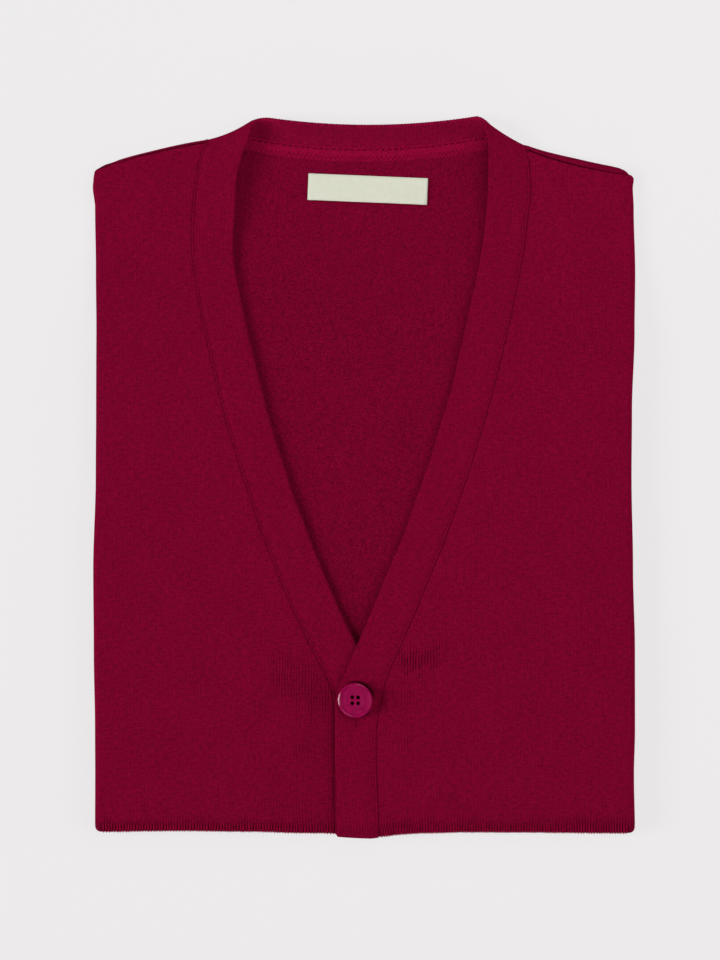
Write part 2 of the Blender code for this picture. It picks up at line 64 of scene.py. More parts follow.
Object, Material, Node = bpy.types.Object, bpy.types.Material, bpy.types.Node
Socket, Sockets = bpy.types.NodeSocket, bpy.types.bpy_prop_collection
Tree = bpy.types.NodeTree

MM = 0.001
BODY = "root"
KNIT_MAP = "knit"          # UV map: place on the knit in millimetres, across and along the wales
OPENED = "opened"          # how far the wales are pulled apart
PAINTED_SHADE = "painted_shade"        # painted shade in holes and gaps: of seams, between the wales round the bottom fold, and round the button
FLOAT, VECTOR = "NodeSocketFloat", "NodeSocketVector"
log = logging.getLogger("vest")


class Slot(Enum):
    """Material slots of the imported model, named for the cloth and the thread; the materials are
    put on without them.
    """
    JERSEY = "jersey"
    BAND = "band_knit"
    TAPE = "seam_tape"
    LABEL = "woven_label"


# ================================================================ small maths

def mix(a: Number, b: Number, t: Number) -> Number:
    """Value between a and b at share t."""
    return a + (b - a) * t


def ease(t: Number) -> Number:
    """Smooth step from 0 to 1."""
    t = np.clip(t, 0.0, 1.0)
    return t * t * (3.0 - 2.0 * t)


def merged(*spans: Array) -> Array:
    """Sorted values of several spans, without doubles."""
    return np.unique(np.round(np.concatenate(spans), 5))


def bent(turn: Array, t: Array, bends: Bends) -> Array:
    """Turns of a wave, made uneven by slow waves.

    Args:
        turn: the even turns, in radians.
        t: place along the wave.
        bends: size and pitch of each slow wave.

    Returns:
        The uneven turns.
    """
    for size, pitch in bends:
        turn = turn + size * np.sin(t / pitch)
    return turn


def splined(rows: Sequence[Sequence[float]], t: Array) -> Array:
    """Catmull-Rom values of a table's columns.

    Args:
        rows: the table, one tuple of numbers a row.
        t: row numbers, whole or between rows.

    Returns:
        One row of column values for each t.
    """
    table = np.array(rows, float)
    last = len(table) - 1
    i = np.clip(t.astype(int), 0, last - 1)
    f = (t - i)[:, None]
    before, start = table[np.maximum(i - 1, 0)], table[i]
    end, after = table[i + 1], table[np.minimum(i + 2, last)]
    leave, arrive = (end - before) / 2.0, (after - start) / 2.0
    return ((2 * f**3 - 3 * f**2 + 1) * start + (f**3 - 2 * f**2 + f) * leave
            + (3 * f**2 - 2 * f**3) * end + (f**3 - f**2) * arrive)


# ================================================================ the vest's sizes

class Station(NamedTuple):
    """Where a front band's seam and free edge are, at one place along it."""
    seam_x: float
    seam_y: float
    edge_x: float
    edge_y: float


UNDER_BAND = [Station(*row) for row in (
    (-87.6, 186.0, -62.6, 195.7),
    (-91.0, 179.0, -64.5, 188.0),
    (-93.2, 170.0, -67.8, 178.6),
    (-95.0, 158.0, -70.8, 165.0),
    (-96.0, 145.0, -72.0, 149.0),
    (-96.2, 131.0, -72.9, 133.0),
    (-95.2, 117.0, -72.2, 120.0),
    (-91.6, 95.5, -68.5, 100.0),
    (-84.5, 62.5, -61.4, 67.7),
    (-76.2, 29.5, -53.3, 35.7),
    (-65.8, -4.2, -43.4, 3.1),
    (-54.3, -37.2, -32.0, -29.0),
    (-42.6, -66.5, -20.4, -57.4),
    (-30.5, -92.5, -9.9, -81.6),
    (-21.2, -110.6, -0.8, -98.4),
    (-17.2, -122.0, 5.4, -113.5),
    (-16.6, -137.0, 7.0, -134.0),
    (-16.6, -163.0, 7.0, -162.0),
    (-16.6, -188.0, 7.0, -188.0),
)]

OVER_BAND = [Station(*row) for row in (
    (90.2, 182.0, 66.6, 196.0),
    (92.2, 175.0, 68.6, 187.0),
    (92.9, 166.5, 69.2, 175.5),
    (92.9, 156.0, 69.1, 161.5),
    (91.3, 143.5, 67.7, 146.8),
    (88.6, 122.5, 65.6, 126.4),
    (82.9, 94.0, 60.2, 99.3),
    (75.7, 62.8, 53.0, 68.8),
    (67.0, 30.5, 45.1, 37.4),
    (56.5, -3.2, 34.7, 4.3),
    (44.5, -36.5, 23.4, -27.8),
    (32.3, -66.5, 11.3, -57.6),
    (22.0, -90.8, 1.0, -81.7),
    (15.6, -105.0, -4.8, -95.0),
    (11.2, -117.0, -11.2, -110.0),
    (8.7, -129.0, -15.4, -121.5),
    (7.1, -143.0, -16.1, -138.0),
    (7.2, -160.0, -15.9, -159.0),
    (7.9, -179.0, -15.5, -179.0),
    (8.4, -195.0, -15.1, -193.9),
)]


class SideRow(NamedTuple):
    """How far out each side fold is, at one place down the pile."""
    y: float
    right: float
    left: float


SIDES = [SideRow(*row) for row in (
    (172.0, 150.3, 149.0),
    (168.0, 150.8, 150.4),
    (162.5, 151.2, 149.9),
    (150.0, 149.9, 150.4),
    (115.0, 149.4, 151.2),
    (82.0, 149.0, 150.7),
    (37.0, 149.1, 149.2),
    (0.0, 149.3, 148.95),
    (-51.0, 150.7, 149.8),
    (-96.0, 150.4, 150.85),
    (-140.0, 149.7, 150.9),
    (-165.0, 149.6, 150.3),
    (-200.0, 149.7, 150.9),
)]


class HemPoint(NamedTuple):
    """How far the bottom fold lies above its straight line, at one place across."""
    out: float
    up: float


RIGHT_HEM = [HemPoint(*row) for row in (
    (16.0, -1.6), (25.0, -1.1), (36.0, -0.3), (47.0, 0.2), (60.0, 0.7), (100.0, 0.8),
    (113.0, 0.5), (125.0, 0.2), (136.0, -0.2), (147.0, -0.5))]
LEFT_HEM = [HemPoint(*row) for row in (
    (9.0, -2.8), (14.5, -2.2), (20.0, -1.5), (31.0, -0.9), (42.0, -0.6), (55.0, 0.0),
    (70.0, 0.15), (98.0, -0.05), (120.0, -0.4), (142.0, -0.7))]


class Side(Enum):
    """A half of the vest, as the wearer names it; its value is the sign of its X."""
    RIGHT = -1
    LEFT = 1


@dataclass(frozen=True)
class Half:
    """One half of the vest: its band's line, its shoulder and its bottom fold."""
    side: Side
    stations: list[Station]
    hem: list[HemPoint]
    bottom_y: float
    corner_y: float      # outer corner of the shoulder
    bow: float           # of the shoulder's edge
    strip: float         # of the back, seen behind the shoulder
    strip_start: float   # the same, beside the band
    strip_end: float     # and at the outer corner
    samples: int = 16    # between two rows of the side fold's table

    @property
    def sign(self) -> int:
        """-1 on the wearer's right, 1 on the left."""
        return self.side.value

    @property
    def is_over(self) -> bool:
        """True for the half that lies on top."""
        return self.side is Side.LEFT

    def fold_x(self, y: Number) -> Number:
        """How far out the side fold is, eased between the table's rows.

        Args:
            y: places down the pile.

        Returns:
            Distance from the middle at each place.
        """
        ys = np.array([row.y for row in SIDES])
        xs = np.array([row.left if self.is_over else row.right for row in SIDES])
        place = np.linspace(0.0, len(ys) - 1.0, (len(ys) - 1) * self.samples + 1)
        i = np.minimum(place.astype(int), len(ys) - 2)
        fine_y = mix(ys[i], ys[i + 1], place - i)
        fine_x = mix(xs[i], xs[i + 1], ease(place - i))
        return np.interp(y, fine_y[::-1], fine_x[::-1])

    def edge_x(self, y: Array) -> Array:
        """X of the band's free edge at y."""
        return np.interp(y, [s.edge_y for s in self.stations[::-1]],
                         [s.edge_x for s in self.stations[::-1]])

    def hem_up(self, x: Array) -> Array:
        """How far the bottom fold lies above its straight line at x."""
        return np.interp(np.abs(x), [p.out for p in self.hem], [p.up for p in self.hem])

    def front_edge_y(self, x: Array, seam_gap: float, roll: float) -> Array:
        """Y of the front's upper edge on the shoulder.

        Args:
            x: places across the shoulder.
            seam_gap: between the front and its band.
            roll: radius of the side fold, where the edge ends.

        Returns:
            Y of the edge at each place.
        """
        ridge = self.stations[0]
        start = abs(ridge.seam_x) + seam_gap
        end = float(self.fold_x(self.corner_y)) - roll
        u = np.clip((np.abs(x) - start) / (end - start), 0.0, 1.0)
        return mix(ridge.seam_y, self.corner_y, u) + 4 * self.bow * u * (1 - u)


RIGHT = Half(Side.RIGHT, UNDER_BAND, RIGHT_HEM, bottom_y=-196.8, corner_y=171.6, bow=1.4,
             strip=0.8, strip_start=1.0, strip_end=1.2)
LEFT = Half(Side.LEFT, OVER_BAND, LEFT_HEM, bottom_y=-197.3, corner_y=168.2, bow=-2.0,
            strip=3.0, strip_start=1.9, strip_end=2.9)


@dataclass(frozen=True)
class Pile:
    """Heights of the folded pile, and the sizes that every piece of it shares."""
    side_upper: float = 6.2      # height of the upper half beside the folds, at the neck
    side_lower: float = 13.0     # and below the drape
    mid_upper: float = 5.8       # the same in the middle
    mid_lower: float = 11.6
    mid_half: float = 25.0       # half width of the middle
    side_from: float = 80.0
    hem_y: float = 73.0          # edge of the lower half, folded up behind
    drape_top: float = 58.0      # the upper half drapes over that edge between these two
    drape_foot: float = 140.0
    sink: float = 2.4            # of the under front below the placket
    sink_from_y: float = -50.0
    sink_fade: float = 34.0
    sink_left: float = 24.0
    sink_right: float = 12.0
    vee_sag: float = 0.9         # of the back inside the V
    sag_fade: float = 14.0
    back_clear: float = 0.95
    side_roll: float = 3.1
    side_tuck: float = 7.5
    band_thick: float = 2.6
    band_proud: float = 0.9
    gap: float = 0.3
    seam_gap: float = 0.03

    def outside(self, x: Array, y: Array) -> Array:
        """Height of the upper half's outside, as the over front lies.

        Args:
            x, y: places.

        Returns:
            Height at each place.
        """
        lower = ease((self.drape_foot - y) / (self.drape_foot - self.drape_top))
        out = ease((np.abs(x) - self.mid_half) / (self.side_from - self.mid_half))
        mid_z = mix(self.mid_upper, self.mid_lower, lower)
        return mix(mid_z, mix(self.side_upper, self.side_lower, lower), out)

    def front(self, half: Half, x: Array, y: Array) -> Array:
        """Height of a front's outside; the under one is pressed down by the placket.

        Args:
            half: whose front.
            x, y: places.

        Returns:
            Height at each place.
        """
        if half.is_over:
            return self.outside(x, y)
        down = ease((self.sink_from_y - y) / self.sink_fade)
        left, right = UNDER_BAND[-1].seam_x, OVER_BAND[-1].seam_x
        across = (ease(1.0 - (left - x) / self.sink_left)
                  * ease(1.0 - (x - right) / self.sink_right))
        return self.outside(x, y) - self.sink * down * across

    def back(self, x: Array, y: Array) -> Array:
        """Height of the back's inside face.

        Args:
            x, y: places.

        Returns:
            Height at each place.
        """
        inside = (ease((x - RIGHT.edge_x(y)) / self.sag_fade)
                  * ease((LEFT.edge_x(y) - x) / self.sag_fade))
        return (self.front(RIGHT, x, y) - self.band_thick + self.band_proud
                - self.back_clear - self.vee_sag * inside)


PILE = Pile()


@dataclass(frozen=True)
class NeckLine:
    """Seam between the back and its neck band."""
    half: float = 63.0
    reach: float = 68.5          # as far as the back goes on along it
    mid_y: float = 182.2
    end_y: float = 187.8

    def y(self, x: Array) -> Array:
        """Y of the seam at x."""
        return mix(self.mid_y, self.end_y, (x / self.half) ** 2)


NECK = NeckLine()


# ================================================================ relief of the cloth

class Crease(NamedTuple):
    """A soft ridge, or a trough where its height is below zero, between two places."""
    from_x: float
    from_y: float
    to_x: float
    to_y: float
    bow: float
    half_width: float
    height: float


@dataclass(frozen=True)
class Relief:
    """The soft ridges and troughs that a piece of cloth keeps from its folding."""
    creases: Sequence[Crease] = ()
    swell: float = 0.10          # uneven lie of the cloth between them
    swell_pitch: float = 46.0
    phase: float = 0.0
    waves: Triple = (6.1, 4.3, 9.7)     # turns across, down and aslant
    phases: Triple = (1.0, 1.7, 2.3)    # where each of them starts
    slope: float = 0.7           # of the wave that runs aslant
    aslant: float = 0.6          # its share
    fade: float = 0.35           # share of a crease over which each end of it fades

    def height(self, x: Array, y: Array) -> Array:
        """Height that the relief adds.

        Args:
            x, y: places.

        Returns:
            Height at each place, below zero in a trough.
        """
        ways = (x, y, x + self.slope * y)
        wave_x, wave_y, wave_aslant = (
            way / self.swell_pitch * turns + start * self.phase
            for way, turns, start in zip(ways, self.waves, self.phases))
        total = self.swell * (np.sin(wave_x) * np.cos(wave_y)
                              + self.aslant * np.sin(wave_aslant))
        for crease in self.creases:
            run = np.array((crease.to_x - crease.from_x, crease.to_y - crease.from_y))
            length = float(np.hypot(*run))
            run = run / length
            dx, dy = x - crease.from_x, y - crease.from_y
            along = (dx * run[0] + dy * run[1]) / length
            bow = 4.0 * crease.bow * along * (1.0 - along)
            across = (dy * run[0] - dx * run[1] - bow) / crease.half_width
            ends = ease(along / self.fade) * ease((1.0 - along) / self.fade)
            total = total + crease.height * np.exp(-across**2) * ends
        return total


RIGHT_RELIEF = Relief(phase=0.4, creases=[Crease(*row) for row in (
    (-22.0, -112.0, -88.0, -84.0, -7.0, 5.5, 0.55),
    (-22.0, -119.0, -104.0, -112.0, -9.0, 6.0, -0.35),
    (-21.0, -127.0, -96.0, -146.0, -8.0, 6.5, 0.50),
    (-24.0, -140.0, -62.0, -186.0, -4.0, 7.0, 0.30),
    (-70.0, -40.0, -132.0, -96.0, -8.0, 12.0, 0.55),
    (-84.0, 10.0, -138.0, -34.0, -6.0, 14.0, -0.35),
    (-100.0, 70.0, -140.0, 30.0, -5.0, 12.0, 0.45),
    (-104.0, 168.0, -134.0, 118.0, 5.0, 9.0, 0.40),
    (-108.0, 128.0, -142.0, 84.0, 4.0, 11.0, -0.30),
    (-50.0, -150.0, -130.0, -172.0, 5.0, 10.0, 0.45),
)])
LEFT_RELIEF = Relief(phase=2.1, creases=[Crease(*row) for row in (
    (17.0, -106.0, 84.0, -74.0, 9.0, 5.5, 0.60),
    (15.0, -113.0, 104.0, -104.0, 11.0, 6.5, -0.40),
    (13.0, -122.0, 108.0, -48.0, 26.0, 7.0, 0.40),
    (12.0, -136.0, 92.0, -156.0, 8.0, 7.5, 0.45),
    (60.0, -20.0, 128.0, -92.0, 10.0, 13.0, 0.55),
    (80.0, 26.0, 140.0, -30.0, 7.0, 14.0, -0.35),
    (96.0, 84.0, 140.0, 34.0, 5.0, 12.0, 0.45),
    (100.0, 160.0, 136.0, 104.0, -6.0, 10.0, 0.45),
    (30.0, -164.0, 124.0, -184.0, -5.0, 9.0, 0.40),
)])
BACK_RELIEF = Relief(phase=4.0, swell=0.14, creases=[Crease(*row) for row in (
    (-54.0, 150.0, -40.0, 40.0, -8.0, 11.0, 0.50),
    (50.0, 140.0, 34.0, 20.0, 8.0, 12.0, 0.55),
    (-4.0, 60.0, 6.0, -60.0, 5.0, 13.0, 0.45),
    (-30.0, 138.0, 30.0, 132.0, -3.0, 8.0, 0.30),
    (20.0, 110.0, 36.0, -10.0, -4.0, 9.0, -0.35),
)])
BAND_RELIEF = Relief(phase=1.1, swell=0.12, swell_pitch=60.0)


class Patch(NamedTuple):
    """A place where the wales are pulled apart."""
    x: float
    y: float
    half_wide: float
    half_high: float
    strength: float


@dataclass(frozen=True)
class OpenedWales:
    """Where the wales of the fronts are pulled apart: round the bottom fold and in patches."""
    patches: Sequence[Patch]
    fold_y: float = -187.0           # from here down
    fold_run: float = 7.0
    fold_most: float = 0.85
    fold_ragged: float = 0.35        # how much of the raggedness shows there
    patch_ragged: float = 0.8        # and round the patches
    patch_end: float = 1.15          # of its half sizes
    patch_run: float = 0.45
    ragged: Sequence[Triple] = (      # size, turns and start of each wave of the ragged edge
        (3.0, 1.9, 0.0), (2.4, 0.83, 1.0), (2.0, 0.21, 2.0))

    def share(self, x: Array, y: Array) -> Array:
        """How far the wales are pulled apart.

        Args:
            x, y: places.

        Returns:
            0 where they lie close, and up to 1 where they lie fully open.
        """
        ragged = sum(size * np.sin(x * turns + start) for size, turns, start in self.ragged)
        below = self.fold_y - y + self.fold_ragged * ragged
        total = self.fold_most * ease(below / self.fold_run)
        for patch in self.patches:
            away = np.hypot((x - patch.x) / patch.half_wide,
                            (y - patch.y + self.patch_ragged * ragged) / patch.half_high)
            opened = patch.strength * ease((self.patch_end - away) / self.patch_run)
            total = np.maximum(total, opened)
        return total


OPENED_WALES = OpenedWales([Patch(*row) for row in (
    (-38.0, -113.0, 16.0, 13.0, 0.55),
    (-26.0, -120.0, 8.0, 14.0, 0.45),
    (-46.0, -101.0, 9.0, 6.0, 0.45),
    (31.0, -101.0, 15.0, 6.0, 1.0),
    (20.0, -120.0, 7.0, 8.0, 0.40),
    (-34.0, -150.0, 6.5, 6.0, 0.35),
    (24.0, -147.0, 5.0, 5.0, 0.40),
    (58.0, -182.0, 26.0, 5.0, 0.30),
    (-46.0, -184.0, 22.0, 5.0, 0.35),
)])


# ================================================================ mesh making

@dataclass
class Cloth:
    """A sheet of cloth as two grids of points with a rounded rim between them."""
    outer: Array                       # rows, columns, xyz
    inner: Array
    knit: Array                        # rows, columns, place on the knit
    keep: Array | None = None          # cells that are cloth
    opened: Array | None = None
    painted_shade: Array | None = None
    rim: float = 0.5                   # how far the rim rounds out, in thicknesses

    def cells(self) -> Array:
        """Cells that are cloth.

        Returns:
            Row and column of each.
        """
        rows, cols = self.outer.shape[:2]
        keep = np.ones((rows - 1, cols - 1), bool) if self.keep is None else self.keep
        return np.argwhere(keep)

    def borders(self) -> tuple[Array, Array, Array, Array]:
        """Edges on the rim.

        Returns:
            Point numbers of the start and end of each edge, and of the edge across its cell.
        """
        rows, cols = self.outer.shape[:2]
        kept = np.zeros((rows + 1, cols + 1), bool)
        at = self.cells()
        kept[at[:, 0] + 1, at[:, 1] + 1] = True
        found: list[list[Array]] = [[], [], [], []]
        # For each side of a cell: the cell beside it, then the corners in the order found.
        steps = (((-1, 0), (0, 0), (0, 1), (1, 0), (1, 1)),
                 ((1, 0), (1, 1), (1, 0), (0, 1), (0, 0)),
                 ((0, -1), (1, 0), (0, 0), (1, 1), (0, 1)),
                 ((0, 1), (0, 1), (1, 1), (0, 0), (1, 0)))
        for beside, *corners in steps:
            bare = ~kept[at[:, 0] + 1 + beside[0], at[:, 1] + 1 + beside[1]]
            cell = at[bare]
            for out, (di, dj) in zip(found, corners):
                out.append((cell[:, 0] + di) * cols + cell[:, 1] + dj)
        start, end, far_start, far_end = (np.concatenate(part) for part in found)
        return start, end, far_start, far_end

    def to_object(self, name: str) -> Object:
        """Closed smooth mesh of the sheet, in metres, with its knit map.

        Args:
            name: of the object.

        Returns:
            The new object, linked to the scene.
        """
        rows, cols = self.outer.shape[:2]
        count = rows * cols
        outer, inner = self.outer.reshape(count, 3), self.inner.reshape(count, 3)
        at = self.cells()
        a = at[:, 0] * cols + at[:, 1]
        faces = np.stack([a, a + 1, a + cols + 1, a + cols], 1)
        start, end, far_start, far_end = self.borders()

        out_way = np.zeros((count, 3))
        middle = (outer + inner) / 2.0
        push = middle[start] + middle[end] - middle[far_start] - middle[far_end]
        np.add.at(out_way, start, push)
        np.add.at(out_way, end, push)
        length = np.linalg.norm(out_way, axis=1, keepdims=True)
        thick = np.linalg.norm(outer - inner, axis=1, keepdims=True)
        rim = middle + out_way / np.maximum(length, 1e-9) * thick * self.rim

        points = np.concatenate([outer, inner, rim])
        quads = np.concatenate([
            faces, faces[:, ::-1] + count,
            np.stack([end, start, start + 2 * count, end + 2 * count], 1),
            np.stack([end + 2 * count, start + 2 * count, start + count, end + count], 1)])
        knit = np.tile(self.knit.reshape(count, 2), (3, 1))
        masks = {title: np.tile(mask.reshape(count), 3)
                 for title, mask in ((OPENED, self.opened), (PAINTED_SHADE, self.painted_shade))
                 if mask is not None}
        return mesh_object(name, points, quads, knit, masks)


def placed(name: str, data: bpy.types.ID) -> Object:
    """New object, linked to the scene.

    Args:
        name: of the object.
        data: what it shows.

    Returns:
        The new object.
    """
    obj = bpy.data.objects.new(name, data)
    bpy.context.scene.collection.objects.link(obj)
    return obj


def mesh_object(name: str, points: Array, quads: Array, knit: Array | None = None,
                masks: dict[str, Array] | None = None) -> Object:
    """Smooth mesh object from points in millimetres and quads that all wind one way.

    Args:
        name: of the object.
        points: one row of xyz a point.
        quads: four point numbers a face.
        knit: place of each point on the knit.
        masks: values of each point for the materials, by name.

    Returns:
        The new object, with its faces pointing outwards.
    """
    used = np.unique(quads)
    renumber = np.zeros(len(points), int)
    renumber[used] = np.arange(len(used))
    quads, points = renumber[quads], points[used]
    a, b, c, d = (points[quads[:, k]] for k in range(4))
    volume = (np.einsum("ij,ij->i", a, np.cross(b, c))
              + np.einsum("ij,ij->i", a, np.cross(c, d))).sum()
    if volume < 0:
        quads = quads[:, ::-1]
    mesh = bpy.data.meshes.new(name)
    mesh.vertices.add(len(points))
    mesh.vertices.foreach_set("co", (points * MM).ravel())
    mesh.loops.add(quads.size)
    mesh.loops.foreach_set("vertex_index", quads.ravel())
    mesh.polygons.add(len(quads))
    mesh.polygons.foreach_set("loop_start", np.arange(0, quads.size, 4))
    if knit is not None:
        layer = mesh.uv_layers.new(name=KNIT_MAP)
        layer.uv.foreach_set("vector", knit[used][quads.ravel()].astype(np.float32).ravel())
    for title, values in (masks or {}).items():
        mask = mesh.attributes.new(title, "FLOAT", "POINT")
        mask.data.foreach_set("value", values[used].astype(np.float32))
    mesh.update(calc_edges=True)
    mesh.validate()
    mesh.shade_smooth()
    return placed(name, mesh)


def arc_lengths(line: Array) -> Array:
    """Distance of each point from the first, along a line of points."""
    steps = np.linalg.norm(np.diff(line, axis=0), axis=1)
    return np.concatenate([[0.0], np.cumsum(steps)])


def laid_out(by_column: Array, by_row: Array) -> Array:
    """Grid of places on the knit, from one value a column and one a row."""
    return np.stack(np.broadcast_arrays(by_column[None, :], by_row[:, None]), 2)


def round_fold(last: Array, drop: Array, steps: int) -> list[Array]:
    """Turn the cloth's last row round the bottom fold.

    Args:
        last: points of the row on the cloth's outside.
        drop: how far each of them is under the outside.
        steps: rows to make.

    Returns:
        The new rows, the last of them on the underside.
    """
    x, y, top = last.T
    reach = top / 2 - drop
    return [np.stack([x, y - reach * math.sin(angle), top / 2 + reach * math.cos(angle)], 1)
            for angle in np.linspace(0, math.pi, steps + 1)[1:]]


# ================================================================ finishes

class KnitFace(Enum):
    """Which side of the knit shows, or how it is knitted."""
    JERSEY = "jersey"      # columns of vees
    PURL = "purl"          # rows of bumps
    BAND = "band"          # close columns of a doubled band


class Wiring:
    """Short calls that add nodes to a tree and join them."""

    def __init__(self, tree: Tree) -> None:
        """Keep the tree that the nodes go into."""
        self.tree = tree

    def node(self, kind: str, **settings: object) -> Node:
        """Add a node.

        Args:
            kind: its type.
            settings: its properties, by name.

        Returns:
            The new node.
        """
        made = self.tree.nodes.new(kind)
        for key, value in settings.items():
            setattr(made, key, value)
        return made

    def put(self, socket: Socket, value: object) -> None:
        """Join an output to a socket, or set the socket's own value.

        Args:
            socket: the input.
            value: an output, a number, or a colour without its alpha.
        """
        if isinstance(value, Socket):
            self.tree.links.new(value, socket)
        elif socket.type == "RGBA":
            socket.default_value = (*value, 1.0)
        else:
            socket.default_value = value

    def fill(self, node: Node, **values: object) -> None:
        """Put values into a node's inputs, named with _ for each blank."""
        for title, value in values.items():
            self.put(node.inputs[title.replace("_", " ")], value)

    def math(self, operation: str, *values: object, clamp: bool = False) -> Socket:
        """Result of a Math node.

        Args:
            operation: what it does.
            values: its inputs.
            clamp: whether to keep the result between 0 and 1.

        Returns:
            The node's output.
        """
        made = self.node("ShaderNodeMath", operation=operation, use_clamp=clamp)
        for socket, value in zip(made.inputs, values):
            self.put(socket, value)
        return made.outputs[0]

    def vector(self, *values: object) -> Socket:
        """Vector from two or three values.

        Args:
            values: its X, Y and Z.

        Returns:
            The vector.
        """
        made = self.node("ShaderNodeCombineXYZ")
        for socket, value in zip(made.inputs, values):
            self.put(socket, value)
        return made.outputs[0]

    def parts(self, vector: Socket) -> tuple[Socket, Socket]:
        """Take a vector apart.

        Args:
            vector: the vector.

        Returns:
            Its X and Y.
        """
        split = self.node("ShaderNodeSeparateXYZ")
        self.put(split.inputs[0], vector)
        return split.outputs["X"], split.outputs["Y"]

    def remap(self, value: object, low: float, high: float, to_low: float = 0.0,
              to_high: float = 1.0) -> Socket:
        """Value moved smoothly from one range to another, and kept inside it.

        Args:
            value: the value.
            low, high: the range it comes from.
            to_low, to_high: the range it goes to.

        Returns:
            The moved value.
        """
        made = self.node("ShaderNodeMapRange", interpolation_type="SMOOTHSTEP")
        for socket, part in zip(made.inputs, (value, low, high, to_low, to_high)):
            self.put(socket, part)
        return made.outputs[0]

    def noise(self, place: Socket, scale: object, detail: float = 2.0,
              roughness: float = 0.5) -> Socket:
        """Noise at a place.

        Args:
            place: the place.
            scale: how fine the noise is.
            detail: how many finer layers it has.
            roughness: how strong those are.

        Returns:
            Its value, from 0 to 1.
        """
        made = self.node("ShaderNodeTexNoise", noise_dimensions="3D")
        self.fill(made, Vector=place, Scale=scale, Detail=detail, Roughness=roughness)
        return made.outputs["Fac"]

    def stretched(self, place: Socket, across: float, along: float) -> Socket:
        """Place with its first two values scaled.

        Args:
            place: the place.
            across, along: what X and Y are multiplied by.

        Returns:
            The scaled place.
        """
        made = self.node("ShaderNodeMapping")
        self.fill(made, Vector=place, Scale=(across, along, 1.0))
        return made.outputs[0]

    def shade(self, factor: object, dark: object, light: object) -> Socket:
        """Colour between two colours.

        Args:
            factor: share of the light one.
            dark, light: the two colours.

        Returns:
            The colour.
        """
        made = self.node("ShaderNodeMix", data_type="RGBA")
        self.fill(made, Factor=factor, A=dark, B=light)
        return made.outputs["Result"]

    def bumps(self, shader: Node, height: Socket, depth: float) -> None:
        """Let small heights turn the light on a surface.

        Args:
            shader: of the surface.
            height: from 0 to 1.
            depth: of the heights, in metres.
        """
        bump = self.node("ShaderNodeBump")
        self.fill(bump, Strength=1.0, Distance=depth, Height=height)
        self.put(shader.inputs["Normal"], bump.outputs["Normal"])


def new_material(name: str) -> tuple[Material, Wiring, Node]:
    """Start a material.

    Args:
        name: of the material.

    Returns:
        The new material, the wiring of its tree, and its main shader.
    """
    made = bpy.data.materials.new(name)
    made.use_nodes = True
    return made, Wiring(made.node_tree), made.node_tree.nodes["Principled BSDF"]


def new_group(name: str, inputs: Sequence[tuple[str, str, float | None]],
              outputs: Sequence[tuple[str, str]]) -> Tree:
    """Empty shader group with named sockets.

    Args:
        name: of the group.
        inputs: name, kind of socket and first value of each input.
        outputs: name and kind of each output.

    Returns:
        The new group.
    """
    group = bpy.data.node_groups.new(name, "ShaderNodeTree")
    for title, kind, first in inputs:
        socket = group.interface.new_socket(name=title, in_out="INPUT", socket_type=kind)
        if first is not None:
            socket.default_value = first
    for title, kind in outputs:
        group.interface.new_socket(name=title, in_out="OUTPUT", socket_type=kind)
    return group


